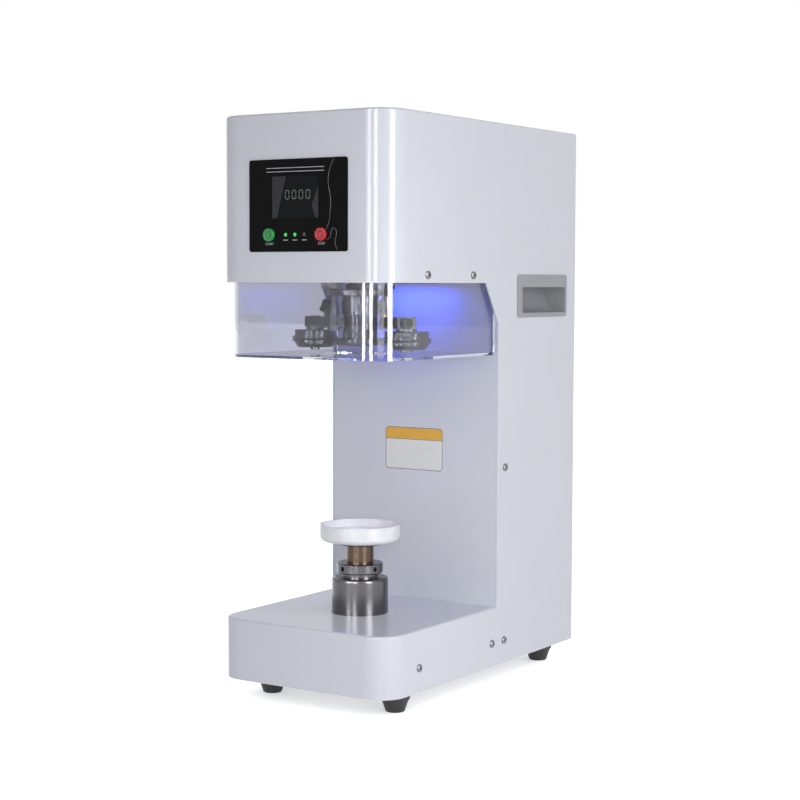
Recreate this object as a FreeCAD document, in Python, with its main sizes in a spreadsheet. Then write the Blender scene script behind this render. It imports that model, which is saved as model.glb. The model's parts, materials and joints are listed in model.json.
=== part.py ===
"""Desktop can seamer: parametric FreeCAD model, millimetres, +Z up, front faces -Y.

The origin is on the ground under the middle of the machine. The seaming axis is
vertical, at (0, axis_y). Every size lives in the spreadsheet and drives the pieces.
"""
import FreeCAD, Part
import Sketcher
import math
import os
import re

doc = FreeCAD.newDocument("CanSeamer")
V = FreeCAD.Vector

# ---------------------------------------------------------------- driving sizes
SIZES = {
    # casing
    "width": 250.0,
    "depth": 445.2,
    "total_height": 700.0,
    "foot_height": 26.6,
    "base_height": 73.4,
    "head_height": 196.4,
    "column_setback": 243.0,
    "gusset_run": 29.9,
    "gusset_drop": 48.8,
    "corner_radius": 34.0,
    "fold_radius": 3.0,
    "wall": 2.0,
    "seat_gap": 0.2,
    "running_gap": 0.05,
    "soft_gap": 0.3,
    # panels
    "panel_recess": 1.0,
    "panel_sheet": 1.5,
    "panel_flange": 9.0,
    "floor_recess": 1.5,
    "floor_hole": 62.0,
    "rear_sheet": 2.0,
    "louvre_length": 60.0,
    "louvre_slot": 4.0,
    "louvre_pitch": 12.0,
    "louvre_drop": 140.0,
    "louvre_count": 8,
    # inner frame
    "bottom_sheet": 6.0,
    "upright_wall": 5.0,
    "upright_width": 30.0,
    "upright_back_gap": 77.2,
    "tie_height": 100.0,
    "upright_spread": 50.0,
    "upright_setback": 24.0,
    "head_plate_sheet": 12.0,
    "head_plate_rise": 16.0,
    "head_plate_margin": 14.0,
    # control panel
    "overlay_width": 140.0,
    "overlay_height": 107.0,
    "overlay_sheet": 1.5,
    "overlay_corner": 3.0,
    "overlay_drop": 107.4,
    "overlay_offset": -2.2,
    "window_width": 65.6,
    "window_height": 48.3,
    "window_sheet": 0.8,
    "window_offset": -5.7,
    "window_rise": 9.5,
    "button_drop": 33.7,
    "start_offset": -42.5,
    "stop_offset": 31.8,
    "button_radius": 7.4,
    "button_proud": 5.0,
    "button_length": 14.0,
    "button_dish": 5.0,
    "lamp_radius": 2.0,
    "lamp_middle": -5.8,
    "lamp_pitch": 13.4,
    "lamp_length": 6.0,
    "board_width": 128.0,
    "board_height": 92.0,
    "board_sheet": 1.6,
    "board_standoff": 18.0,
    "standoff_radius": 3.5,
    # guard
    "guard_side_gap": 5.5,
    "guard_front_gap": 4.0,
    "guard_corner": 40.0,
    "guard_sheet": 3.0,
    "guard_drop": 89.0,
    "guard_hole": 48.0,
    # handles
    "handle_length": 130.5,
    "handle_height": 54.3,
    "handle_sheet": 1.6,
    "handle_corner": 5.0,
    "handle_inset": 90.6,
    "handle_drop": 16.3,
    "pocket_length": 113.5,
    "pocket_height": 32.6,
    "pocket_drop": 5.2,
    "pocket_depth": 28.0,
    "pocket_wall": 2.0,
    "pocket_slope": 12.0,
    "pocket_round": 26.0,
    "pocket_shift": 3.5,
    # decal
    "decal_width": 87.0,
    "decal_height": 55.0,
    "decal_sheet": 0.4,
    "decal_rise": 192.0,
    "decal_offset": 1.5,
    # seaming axis and turret stack, hung from the underside of the head
    "axis_setback": 124.5,
    "chuck_drop": 76.0,
    "chuck_flange_radius": 29.5,
    "chuck_flange_height": 8.6,
    "chuck_radius": 20.5,
    "chuck_height": 36.2,
    "chuck_lip": 3.0,
    "hub_radius": 22.7,
    "hub_gap": 0.5,
    "turret_radius": 40.0,
    "turret_thickness": 8.0,
    "turret_drop": 16.0,
    "cam_radius": 31.0,
    "cam_height": 6.0,
    "cam_shift_x": 11.0,
    "cam_shift_y": 7.0,
    "follower_radius": 11.5,
    "follower_height": 12.0,
    "follower_groove_radius": 1.1,
    "follower_groove_shift": 0.4,
    "follower_x": 29.0,
    "follower_y": 19.0,
    "shaft_radius": 9.0,
    "spindle_radius": 14.0,
    "spindle_rise": 30.0,
    "housing_radius": 32.0,
    "housing_flange_radius": 46.0,
    "housing_flange": 8.0,
    "housing_height": 90.0,
    "housing_lift": 4.4,
    "housing_wall": 4.0,
    "bearing_radius": 24.0,
    "bearing_height": 14.0,
    "spindle_pulley_radius": 45.0,
    "motor_pulley_radius": 28.0,
    "pulley_height": 18.0,
    "pulley_gap": 8.0,
    "pulley_rim": 2.0,
    "belt_sheet": 2.4,
    "motor_spacing": 173.1,
    "motor_radius": 44.0,
    "motor_height": 66.0,
    "motor_foot": 8.0,
    "motor_nose": 6.0,
    "motor_shaft_radius": 6.0,
    "yoke_gap": 12.0,
    "yoke_thickness": 10.0,
    "yoke_reach": 62.0,
    "yoke_leg": 14.0,
    "yoke_cap": 6.0,
    "yoke_cap_rim": 4.0,
    # arms and rollers
    "arm_length": 52.6,
    "arm_angle": 29.0,
    "arm_rise": 21.0,
    "arm_thickness": 13.5,
    "arm_width": 18.0,
    "arm_boss_radius": 9.5,
    "arm_tail": 9.0,
    "arm_end_radius": 9.2,
    "arm_end_shift": 9.0,
    "arm_end_block": 20.0,
    "arm_hole_radius": 2.0,
    "arm_hole_reach": 3.2,
    "arm_bolt_radius": 2.4,
    "arm_bolt_head": 3.0,
    "arm_bolt_back": 6.4,
    "arm_bolt_side": 6.5,
    "arm_slit": 1.6,
    "pivot_radius": 5.0,
    "pivot_head_radius": 7.5,
    "pivot_head": 2.4,
    "post_radius": 9.0,
    "post_neck_radius": 5.5,
    "post_neck": 5.0,
    "post_thin_radius": 3.4,
    "post_shoulder_radius": 6.2,
    "post_thin": 13.0,
    "washer_radius": 9.5,
    "washer_sheet": 1.4,
    "roller_reach": 67.0,
    "roller_drop": 3.5,
    "roller_taper_radius": 21.2,
    "roller_lower_radius": 25.0,
    "roller_rim_radius": 28.4,
    "roller_cap_radius": 25.4,
    "roller_taper": 7.4,
    "roller_rim": 6.0,
    "roller_cap": 8.0,
    "roller_groove": 1.2,
    "roller_pin_radius": 4.0,
    "roller_washer_radius": 11.0,
    "roller_washer_gap": 0.2,
    "nut_across": 11.6,
    "nut_height": 3.0,
    "pin_head_radius": 6.5,
    "pin_head": 0.8,
    "clamp_head_radius": 6.6,
    "clamp_head": 5.0,
    "clamp_turn": 27.0,
    "clamp_socket": 6.4,
    "clamp_socket_depth": 3.2,
    "lever_radius": 9.0,
    "lever_height": 13.5,
    "lever_lip": 2.4,
    "lever_groove": 1.2,
    "lever_tilt": 24.0,
    "lever_reach": 21.0,
    "lever_rise": 6.5,
    "lever_stem_radius": 3.0,
    # lifter
    "bridge_lift": 29.4,
    "bridge_thickness": 6.0,
    "bridge_width": 96.0,
    "bridge_leg_radius": 6.0,
    "bridge_margin": 4.0,
    "lifter_radius": 34.5,
    "lifter_height": 44.0,
    "lifter_flange_radius": 44.0,
    "lifter_flange": 7.0,
    "lifter_round": 3.8,
    "gland_radius": 22.4,
    "neck_radius": 19.6,
    "neck_rise": 5.1,
    "neck_length": 70.0,
    "rod_radius": 16.5,
    "collar_radius": 28.2,
    "collar_height": 12.3,
    "collar_hole": 3.0,
    "collar_skin": 2.0,
    "collar_chamfer": 1.2,
    "rod_length": 34.9,
    "tray_radius": 49.0,
    "tray_height": 20.7,
    "tray_wall": 3.0,
    "tray_floor": 11.3,
    "tray_round": 6.5,
    "tray_seat_radius": 33.4,
    "tray_seat": 2.5,
    "tray_flange_radius": 28.0,
    "tray_flange": 3.9,
    "screw_radius": 6.0,
    "screw_drop": 12.0,
    "screw_bore_gap": 6.0,
    "screw_point": 2.0,
    "screw_pulley_radius": 18.0,
    "drive_pulley_radius": 12.0,
    "lift_pulley_lift": 9.4,
    "lift_pulley_height": 12.0,
    "lift_motor_spacing": 159.5,
    "lift_motor_radius": 30.0,
    "lift_motor_height": 95.0,
    "lift_shaft_radius": 4.0,
    "lift_shaft_reach": 14.0,
    "lift_shaft_clearance": 2.0,
    # power parts
    "supply_width": 120.0,
    "supply_depth": 42.0,
    "supply_height": 150.0,
    "supply_rise": 115.0,
    "inlet_width": 50.0,
    "inlet_height": 27.0,
    "inlet_flange": 2.0,
    "inlet_proud": 5.0,
    "inlet_collar_width": 30.0,
    "inlet_collar_height": 21.0,
    "inlet_depth": 22.0,
    "inlet_recess": 16.0,
    "inlet_offset": -60.0,
    "inlet_rise": 45.4,
    "inlet_wall": 2.0,
    "inlet_pin": 2.0,
    "inlet_pin_pitch": 7.0,
    "switch_offset": 60.0,
    "switch_width": 30.0,
    "switch_height": 22.0,
    "switch_flange": 2.0,
    "switch_depth": 16.0,
    "switch_margin": 2.0,
    "rocker_width": 22.0,
    "rocker_height": 13.0,
    "rocker_thickness": 6.0,
    "rocker_hub_radius": 4.0,
    "rocker_sink": 0.4,
    "rocker_clearance": 1.2,
    "rocker_well": 12.6,
    # feet and small parts
    "foot_inset": 34.6,
    "foot_front_setback": 66.0,
    "foot_rear_inset": 30.2,
    "foot_top_radius": 18.0,
    "foot_waist_radius": 15.6,
    "foot_bottom_radius": 11.6,
    "foot_waist": 12.5,
    "foot_flare": 4.0,
    "edge_break": 1.0,
    "screw_head_radius": 4.8,
    "screw_head": 2.4,
    "screw_front_setback": 79.4,
    "screw_mid_gap": 61.2,
    "screw_column_inset": 19.0,
    "screw_low_front_setback": 63.9,
    "screw_low_rear_gap": 11.0,
    "screw_head_rise": 9.2,
    "screw_column_rise": 173.8,
    "screw_low_rise": 29.0,
    "light_length": 110.0,
    "light_width": 12.0,
    "light_height": 3.0,
    "light_gap": 28.0,
}

sheet = doc.addObject("Spreadsheet::Sheet", "Sizes")
for row, (alias, value) in enumerate(SIZES.items(), start=1):
    sheet.set(f"A{row}", alias)
    sheet.set(f"B{row}", str(value))
    sheet.setAlias(f"B{row}", alias)
doc.recompute()

# derived places, written once and used in many expressions
NAMED = {
    "half": "(width / 2)",
    "front_y": "(-depth / 2)",
    "back_y": "(depth / 2)",
    "column_y": "(front_y + column_setback)",
    "panel_y": "(column_y + panel_recess)",
    "axis_y": "(front_y + axis_setback)",
    "motor_y": "(axis_y + motor_spacing)",
    "lift_motor_y": "(axis_y + lift_motor_spacing)",
    "upright_y": "(panel_y + upright_setback)",
    "upright_back": "(back_y - upright_back_gap)",
    "handle_y": "(back_y - handle_inset)",
    "under": "(foot_height)",
    "bottom_top": "(foot_height + bottom_sheet)",
    "deck": "(foot_height + base_height)",
    "head_under": "(total_height - head_height)",
    "floor_z": "(head_under + floor_recess)",
    "plate_z": "(head_under + head_plate_rise)",
    "plate_top": "(plate_z + head_plate_sheet)",
    "overlay_centre": "(total_height - overlay_drop)",
    "window_centre": "(overlay_centre + window_rise)",
    "button_row": "(overlay_centre - button_drop)",
    "louvre_height": "(total_height - louvre_drop)",
    "handle_z": "(head_under - handle_drop)",
    "decal_centre": "(deck + decal_rise)",
    "chuck_bottom": "(head_under - chuck_drop)",
    "chuck_top": "(chuck_bottom + chuck_height)",
    "turret_bottom": "(head_under - turret_drop)",
    "turret_top": "(turret_bottom + turret_thickness)",
    "housing_bottom": "(head_under + housing_lift)",
    "housing_top": "(housing_bottom + housing_height)",
    "spindle_top": "(housing_top + spindle_rise)",
    "pulley_bottom": "(housing_top + pulley_gap)",
    "yoke_bottom": "(spindle_top + yoke_gap)",
    "arm_bottom": "(chuck_bottom + arm_rise)",
    "arm_top": "(arm_bottom + arm_thickness)",
    "pivot_x": "(roller_reach - arm_length * cos(arm_angle))",
    "pivot_y": "(arm_length * sin(arm_angle))",
    "roller_bottom": "(chuck_bottom - roller_drop)",
    "roller_top": "(roller_bottom + roller_taper + roller_rim + roller_cap)",
    "bridge_bottom": "(bottom_top + bridge_lift)",
    "bridge_top": "(bridge_bottom + bridge_thickness)",
    "lift_pulley_bottom": "(bottom_top + lift_pulley_lift)",
    "lifter_top": "(deck + lifter_height)",
    "screw_top": "(lifter_top - screw_drop)",
    "shoulder": "(lifter_top + neck_rise)",
    "tray_bottom": "(shoulder + rod_length + tray_flange)",
    "supply_bottom": "(deck + supply_rise)",
    "inlet_centre": "(under + inlet_rise)",
    "rocker_y": "(back_y + switch_flange - rocker_sink)",
}


def link(text):
    """Turn words of an expression into references to the spreadsheet."""
    text = str(text)
    while any(word in NAMED for word in re.findall(r"[a-z_]+", text)):
        text = re.sub(r"[a-z_]+", lambda found: NAMED.get(found.group(), found.group()), text)
    return re.sub(
        r"[a-z_]+",
        lambda found: "Sizes." + found.group() if found.group() in SIZES else found.group(),
        text,
    )


def size(text):
    """Value of an expression in the sheet's words."""
    result = doc.Sizes.evalExpression(link(text).replace("Sizes.", ""))
    return float(getattr(result, "Value", result))


def bind(obj, **properties):
    for name, text in properties.items():
        obj.setExpression(name.replace("__", "."), link(text))


def place(obj, x="0", y="0", z="0"):
    bind(obj, Placement__Base__x=x, Placement__Base__y=y, Placement__Base__z=z)


# ---------------------------------------------------------------- Part primitives
def box(name, x, y, z, length, width, height):
    """Box from its low corner."""
    obj = doc.addObject("Part::Box", name)
    bind(obj, Length=length, Width=width, Height=height)
    place(obj, x, y, z)
    return obj


def centred_box(name, x, y, z, length, width, height):
    """Box centred on x and y, standing on z."""
    return box(name, f"({x}) - ({length}) / 2", f"({y}) - ({width}) / 2", z, length, width, height)


def cylinder(name, x, y, z, radius, height, towards=None):
    obj = doc.addObject("Part::Cylinder", name)
    bind(obj, Radius=radius, Height=height)
    if towards is not None:
        obj.Placement.Rotation = FreeCAD.Rotation(V(0, 0, 1), V(*towards))
    place(obj, x, y, z)
    return obj


def fuse(name, *shapes):
    obj = doc.addObject("Part::MultiFuse", name)
    obj.Shapes = list(shapes)
    return obj


def cut(name, base, *tools):
    obj = doc.addObject("Part::Cut", name)
    obj.Base = base
    obj.Tool = tools[0] if len(tools) == 1 else fuse(name + "_tools", *tools)
    return obj


# ---------------------------------------------------------------- PartDesign helpers
def body(name):
    obj = doc.addObject("PartDesign::Body", name)
    return obj


def origin_feature(owner, role):
    return next(item for item in owner.Origin.OriginFeatures if item.Role == role)


def new_sketch(owner, role, name):
    sketch = owner.newObject("Sketcher::SketchObject", name)
    sketch.AttachmentSupport = [(origin_feature(owner, role), "")]
    sketch.MapMode = "FlatFace"
    return sketch


def pin_vertex(sketch, geometry, end, name, across, up):
    """Tie one sketch point to the origin with two named, linked dimensions."""
    for kind, axis, text in (("DistanceX", "u", across), ("DistanceY", "v", up)):
        value = size(text)
        if abs(value) < 1e-9:
            sketch.addConstraint(
                Sketcher.Constraint("PointOnObject", geometry, end, -2 if axis == "u" else -1)
            )
            continue
        index = sketch.addConstraint(Sketcher.Constraint(kind, -1, 1, geometry, end, value))
        sketch.renameConstraint(index, name + axis)
        sketch.setExpression(f"Constraints.{name}{axis}", link(text))


def polygon(sketch, points):
    """Closed outline; each point is a pair of expressions."""
    places = [V(size(across), size(up), 0) for across, up in points]
    count = len(places)
    first = sketch.GeometryCount
    for index, start in enumerate(places):
        sketch.addGeometry(Part.LineSegment(start, places[(index + 1) % count]), False)
    for index in range(count):
        following = first + (index + 1) % count
        sketch.addConstraint(Sketcher.Constraint("Coincident", first + index, 2, following, 1))
    for index, (across, up) in enumerate(points):
        pin_vertex(sketch, first + index, 1, f"p{first + index}", across, up)


def circle(sketch, across, up, radius):
    centre = V(size(across), size(up), 0)
    index = sketch.addGeometry(Part.Circle(centre, V(0, 0, 1), size(radius)), False)
    pin_vertex(sketch, index, 3, f"c{index}", across, up)
    made = sketch.addConstraint(Sketcher.Constraint("Radius", index, size(radius)))
    sketch.renameConstraint(made, f"r{index}")
    sketch.setExpression(f"Constraints.r{index}", link(radius))


def pad(owner, sketch, length, midplane=False, reverse=False):
    feature = owner.newObject("PartDesign::Pad", owner.Name + "_pad")
    feature.Profile = sketch
    feature.SideType = "Symmetric" if midplane else "One side"
    feature.Reversed = reverse
    bind(feature, Length=length)
    owner.Tip = feature
    return feature


def pocket(owner, sketch, length, reverse=False):
    before = owner.Tip.Shape.Volume
    feature = owner.newObject("PartDesign::Pocket", owner.Name + "_pocket")
    feature.Profile = sketch
    feature.Reversed = reverse
    bind(feature, Length=length)
    owner.Tip = feature
    doc.recompute()
    if not feature.Shape.Volume < before:
        raise ValueError(owner.Name + ": pocket cuts nothing")
    return feature


def revolve(name, points, x="0", y="axis_y"):
    """Body turned about its own vertical axis from (radius, height) points."""
    owner = body(name)
    sketch = new_sketch(owner, "XZ_Plane", name + "_profile")
    polygon(sketch, points)
    feature = owner.newObject("PartDesign::Revolution", name + "_turned")
    feature.Profile = sketch
    feature.ReferenceAxis = (sketch, ["V_Axis"])
    feature.Angle = 360.0
    owner.Tip = feature
    place(owner, x, y)
    doc.recompute()
    return owner


def dress(owner, kind, chosen, amount, name):
    """Fillet or Chamfer on the edges of the tip that pass the test."""
    doc.recompute()
    edges = owner.Tip.Shape.Edges
    names = [f"Edge{number}" for number, edge in enumerate(edges, start=1) if chosen(edge)]
    if not names:
        raise ValueError(owner.Name + ": no edge to dress")
    base = owner.Tip
    feature = owner.newObject("PartDesign::" + kind, name)
    feature.Base = (base, names)
    if kind == "Fillet":
        bind(feature, Radius=amount)
    else:
        bind(feature, Size=amount)
    owner.Tip = feature
    doc.recompute()
    return feature


def is_vertical(edge):
    start = edge.Vertexes[0].Point
    finish = edge.Vertexes[-1].Point
    return abs(start.x - finish.x) + abs(start.y - finish.y) < 1e-6 < abs(start.z - finish.z)


def at_height(edge, height):
    return all(abs(vertex.Z - height) < 1e-4 for vertex in edge.Vertexes)


def plan_plate(name, outline, bottom, thickness, corner=None, rounded=None, holes=()):
    """Flat plate in plan: outline points, thickness, rounded corners and round holes."""
    owner = body(name)
    sketch = new_sketch(owner, "XY_Plane", name + "_outline")
    polygon(sketch, outline)
    for across, up, radius in holes:
        circle(sketch, across, up, radius)
    pad(owner, sketch, thickness)
    if corner is not None:
        dress(owner, "Fillet", lambda e: is_vertical(e) and rounded(e), corner, name + "_corners")
    place(owner, "0", "0", bottom)
    return owner


def front_corner(edge):
    return edge.Vertexes[0].Y < 0


# ---------------------------------------------------------------- casing
def make_casing():
    outer = body("casing_outside")
    sketch = new_sketch(outer, "YZ_Plane", "casing_outline")
    polygon(
        sketch,
        [
            ("front_y", "under"),
            ("back_y", "under"),
            ("back_y", "total_height"),
            ("front_y", "total_height"),
            ("front_y", "head_under"),
            ("column_y - gusset_run", "head_under"),
            ("column_y", "head_under - gusset_drop"),
            ("column_y", "deck"),
            ("front_y", "deck"),
        ],
    )
    pad(outer, sketch, "width", midplane=True)
    front = size("front_y")

    def on_front(edge):
        return abs(edge.Vertexes[0].Y - front) < 1e-4

    dress(outer, "Fillet", lambda e: is_vertical(e) and on_front(e), "corner_radius", "casing_corners")
    top = size("total_height")
    deck = size("deck")
    back = size("back_y")

    def on_fold(edge):
        level = at_height(edge, top) or at_height(edge, deck)
        behind = all(abs(vertex.Y - back) < 1e-4 for vertex in edge.Vertexes)
        inside = all(vertex.Y > size("column_y") - 1e-3 for vertex in edge.Vertexes)
        return level and not behind and not (inside and at_height(edge, deck))

    dress(outer, "Fillet", on_fold, "fold_radius", "casing_folds")

    inner = body("casing_inside")
    sketch = new_sketch(inner, "YZ_Plane", "casing_hollow")
    deck_end = "panel_y + panel_sheet"
    polygon(
        sketch,
        [
            ("front_y + wall", "under - wall"),
            ("back_y + wall", "under - wall"),
            ("back_y + wall", "total_height - wall"),
            ("front_y + wall", "total_height - wall"),
            ("front_y + wall", "deck"),
            (deck_end, "deck"),
            (deck_end, "deck - wall"),
            ("front_y + wall", "deck - wall"),
        ],
    )
    pad(inner, sketch, "width - 2 * wall", midplane=True)
    inside_front = size("front_y + wall")
    dress(
        inner,
        "Fillet",
        lambda e: is_vertical(e) and abs(e.Vertexes[0].Y - inside_front) < 1e-4,
        "corner_radius - wall",
        "casing_inner_corners",
    )
    tools = [
        inner,
        cylinder("deck_hole", "0", "axis_y", "deck - 2 * wall", "lifter_radius + soft_gap", "4 * wall"),
    ]
    for side, sign in (("left", "-1"), ("right", "1")):
        tools.append(
            centred_box(
                f"handle_window_{side}",
                f"{sign} * half",
                "handle_y + pocket_shift",
                "handle_z - pocket_drop - pocket_height / 2 - pocket_wall - seat_gap",
                "6 * wall",
                "pocket_length + 2 * pocket_wall + 2 * seat_gap",
                "pocket_height + pocket_slope + 2 * pocket_wall + 2 * seat_gap",
            )
        )
    for name, offset in (("start", "start_offset"), ("stop", "stop_offset")):
        hole = cylinder(
            f"{name}_hole",
            offset,
            "front_y - wall",
            "button_row",
            "button_radius + soft_gap",
            "3 * wall",
            (0, 1, 0),
        )
        tools.append(hole)
    for name, offset in (("left", "-lamp_pitch"), ("middle", "0"), ("right", "lamp_pitch")):
        hole = cylinder(
            f"lamp_hole_{name}",
            f"lamp_middle + {offset}",
            "front_y - wall",
            "button_row",
            "lamp_radius + soft_gap",
            "3 * wall",
            (0, 1, 0),
        )
        tools.append(hole)
    return cut("casing", outer, *tools)


def make_panels():
    inner_width = "width - 2 * wall - 2 * seat_gap"
    column = centred_box(
        "column_sheet",
        "0",
        "panel_y + panel_sheet / 2",
        "deck",
        inner_width,
        "panel_sheet",
        "floor_z - deck",
    )
    column_panel = fuse("column_panel", column, *column_flanges())
    reach = "half - wall - seat_gap"
    head_floor = plan_plate(
        "head_floor",
        [
            (f"-({reach})", "front_y + wall + seat_gap"),
            (reach, "front_y + wall + seat_gap"),
            (reach, "upright_y - seat_gap"),
            (f"-({reach})", "upright_y - seat_gap"),
        ],
        "floor_z",
        "panel_sheet",
        "corner_radius - wall - seat_gap",
        front_corner,
        [("0", "axis_y", "floor_hole")],
    )
    bottom_plate = plan_plate(
        "bottom_plate",
        [
            (f"-({reach})", "front_y + wall + seat_gap"),
            (reach, "front_y + wall + seat_gap"),
            (reach, "back_y - rear_sheet - seat_gap"),
            (f"-({reach})", "back_y - rear_sheet - seat_gap"),
        ],
        "under",
        "bottom_sheet",
        "corner_radius - wall - seat_gap",
        front_corner,
    )
    return [column_panel, head_floor, bottom_plate]


def column_flanges():
    """Returned side flanges behind the column sheet."""
    pieces = []
    for side, sign in (("left", "-1"), ("right", "1")):
        pieces.append(
            centred_box(
                f"column_flange_{side}",
                f"{sign} * (half - wall - seat_gap - panel_sheet / 2)",
                "panel_y + panel_sheet + panel_flange / 2",
                "deck",
                "panel_sheet",
                "panel_flange",
                "floor_z - deck",
            )
        )
    return pieces


def make_rear_panel():
    owner = body("rear_panel")
    sketch = new_sketch(owner, "XZ_Plane", "rear_outline")
    reach = "half - wall - seat_gap"
    polygon(
        sketch,
        [
            (f"-({reach})", "under"),
            (reach, "under"),
            (reach, "total_height - wall - seat_gap"),
            (f"-({reach})", "total_height - wall - seat_gap"),
        ],
    )
    pad(owner, sketch, "rear_sheet")
    doc.recompute()
    cuts = new_sketch(owner, "XZ_Plane", "rear_cutouts")
    rectangle(cuts, "inlet_offset", "inlet_centre", "inlet_collar_width", "inlet_collar_height")
    rectangle(
        cuts,
        "switch_offset",
        "inlet_centre",
        "switch_width - 2 * switch_margin",
        "switch_height - 2 * switch_margin",
    )
    pocket(owner, cuts, "rear_sheet", reverse=True)
    for side, sign in (("left", "-1"), ("right", "1")):
        slot = new_sketch(owner, "XZ_Plane", f"louvre_{side}")
        rectangle(slot, f"{sign} * louvre_length * 3 / 4", "louvre_height", "louvre_length", "louvre_slot")
        first = pocket(owner, slot, "rear_sheet", reverse=True)
        pattern = owner.newObject("PartDesign::LinearPattern", f"louvres_{side}")
        pattern.Originals = [first]
        pattern.Direction = (slot, ["V_Axis"])
        bind(pattern, Occurrences="louvre_count", Length="louvre_pitch * (louvre_count - 1)")
        owner.Tip = pattern
        doc.recompute()
    place(owner, "0", "back_y")
    return owner


def rectangle(sketch, across, up, width, height):
    low_x = f"({across}) - ({width}) / 2"
    high_x = f"({across}) + ({width}) / 2"
    low_y = f"({up}) - ({height}) / 2"
    high_y = f"({up}) + ({height}) / 2"
    polygon(sketch, [(low_x, low_y), (high_x, low_y), (high_x, high_y), (low_x, high_y)])


# ---------------------------------------------------------------- inner frame
def make_frame():
    pieces = []
    uprights = []
    for side, sign in (("left", "-1"), ("right", "1")):
        owner = body(f"upright_{side}")
        sketch = new_sketch(owner, "XY_Plane", f"upright_{side}_section")
        near = "upright_spread"
        far = "upright_spread + upright_width"
        points = [
            (near, "upright_y"),
            (far, "upright_y"),
            (far, "upright_y + upright_wall"),
            ("upright_spread + upright_wall", "upright_y + upright_wall"),
            ("upright_spread + upright_wall", "upright_back - upright_wall"),
            (far, "upright_back - upright_wall"),
            (far, "upright_back"),
            (near, "upright_back"),
        ]
        polygon(sketch, [(f"{sign} * ({across})", up) for across, up in points])
        pad(owner, sketch, "plate_z - bottom_top")
        place(owner, "0", "0", "bottom_top")
        uprights.append(owner)
    tie = centred_box(
        "upright_tie",
        "0",
        "upright_back - upright_wall / 2",
        "deck + base_height",
        "2 * upright_spread + upright_wall",
        "upright_wall",
        "tie_height",
    )
    pieces.append(fuse("uprights", tie, *uprights))
    reach = "half - head_plate_margin"
    pieces.append(
        plan_plate(
            "head_plate",
            [
                (f"-({reach})", "front_y + 2 * head_plate_margin"),
                (reach, "front_y + 2 * head_plate_margin"),
                (reach, "upright_back"),
                (f"-({reach})", "upright_back"),
            ],
            "plate_z",
            "head_plate_sheet",
            "corner_radius - head_plate_margin",
            front_corner,
            [("0", "axis_y", "housing_radius + seat_gap")],
        )
    )
    yoke = centred_box(
        "yoke_bar",
        "0",
        "axis_y",
        "yoke_bottom",
        "2 * yoke_reach + yoke_leg",
        "2 * yoke_leg",
        "yoke_thickness",
    )
    legs = [
        centred_box(
            f"yoke_leg_{side}",
            f"{sign} * yoke_reach",
            "axis_y",
            "plate_top",
            "yoke_leg",
            "2 * yoke_leg",
            "yoke_bottom - plate_top",
        )
        for side, sign in (("left", "-1"), ("right", "1"))
    ]
    bore = cylinder(
        "yoke_bore",
        "0",
        "axis_y",
        "yoke_bottom - edge_break",
        "shaft_radius",
        "yoke_thickness + 2 * edge_break",
    )
    pieces.append(cut("shaft_yoke", fuse("yoke_solid", yoke, *legs), bore))
    return pieces


# ---------------------------------------------------------------- control panel
def make_control_panel():
    plate = body("overlay_plate")
    sketch = new_sketch(plate, "XZ_Plane", "overlay_outline")
    rectangle(sketch, "overlay_offset", "overlay_centre", "overlay_width", "overlay_height")
    for offset in ("start_offset", "stop_offset"):
        circle(sketch, offset, "button_row", "button_radius + soft_gap")
    for step in ("-1", "0", "1"):
        circle(sketch, f"lamp_middle + {step} * lamp_pitch", "button_row", "lamp_radius + seat_gap")
    pad(plate, sketch, "overlay_sheet")
    middle = size("overlay_offset")
    reach = size("overlay_width / 2")

    def on_corner(edge):
        start, finish = edge.Vertexes[0].Point, edge.Vertexes[-1].Point
        return abs(start.y - finish.y) > 1e-6 and abs(abs(start.x - middle) - reach) < 1e-4

    dress(plate, "Fillet", on_corner, "overlay_corner", "overlay_corners")
    place(plate, "0", "front_y")
    recess = centred_box(
        "window_recess",
        "window_offset",
        "front_y - overlay_sheet",
        "window_centre - window_height / 2 - seat_gap",
        "window_width + 2 * seat_gap",
        "2 * window_sheet",
        "window_height + 2 * seat_gap",
    )
    window = centred_box(
        "display_window",
        "window_offset",
        "front_y - overlay_sheet + window_sheet / 2",
        "window_centre - window_height / 2",
        "window_width",
        "window_sheet",
        "window_height",
    )
    pieces = [cut("control_panel", plate, recess), window]
    for name in ("start", "stop"):
        owner = revolve(
            f"{name}_button",
            [
                ("0", "-button_length"),
                ("button_radius", "-button_length"),
                ("button_radius", "-edge_break"),
                ("button_radius - edge_break", "0"),
                ("button_dish", "0"),
                ("button_dish - edge_break", "-edge_break"),
                ("0", "-edge_break"),
            ],
            f"{name}_offset",
            "front_y - button_proud",
        )
        owner.Placement.Rotation = FreeCAD.Rotation(V(0, 0, 1), V(0, -1, 0))
        bind(owner, Placement__Base__z="button_row")
        pieces.append(owner)
    lamps = [
        cylinder(
            f"indicator_{name}",
            f"lamp_middle + {step} * lamp_pitch",
            "front_y - overlay_sheet - soft_gap",
            "button_row",
            "lamp_radius",
            "lamp_length",
            (0, 1, 0),
        )
        for name, step in (("left", "-1"), ("middle", "0"), ("right", "1"))
    ]
    pieces.append(fuse("indicator_lights", *lamps))
    board = centred_box(
        "board_plate",
        "overlay_offset",
        "front_y + wall + board_standoff + board_sheet / 2",
        "overlay_centre - board_height / 2",
        "board_width",
        "board_sheet",
        "board_height",
    )
    standoffs = [
        cylinder(
            f"standoff_{across}_{up}",
            f"overlay_offset + {across} * (board_width / 2 - 2 * standoff_radius)",
            "front_y + wall",
            f"overlay_centre + {up} * (board_height / 2 - 2 * standoff_radius)",
            "standoff_radius",
            "board_standoff + board_sheet / 2",
            (0, 1, 0),
        )
        for across in (-1, 1)
        for up in (-1, 1)
    ]
    pieces.append(fuse("control_board", board, *standoffs))
    return pieces


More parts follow.
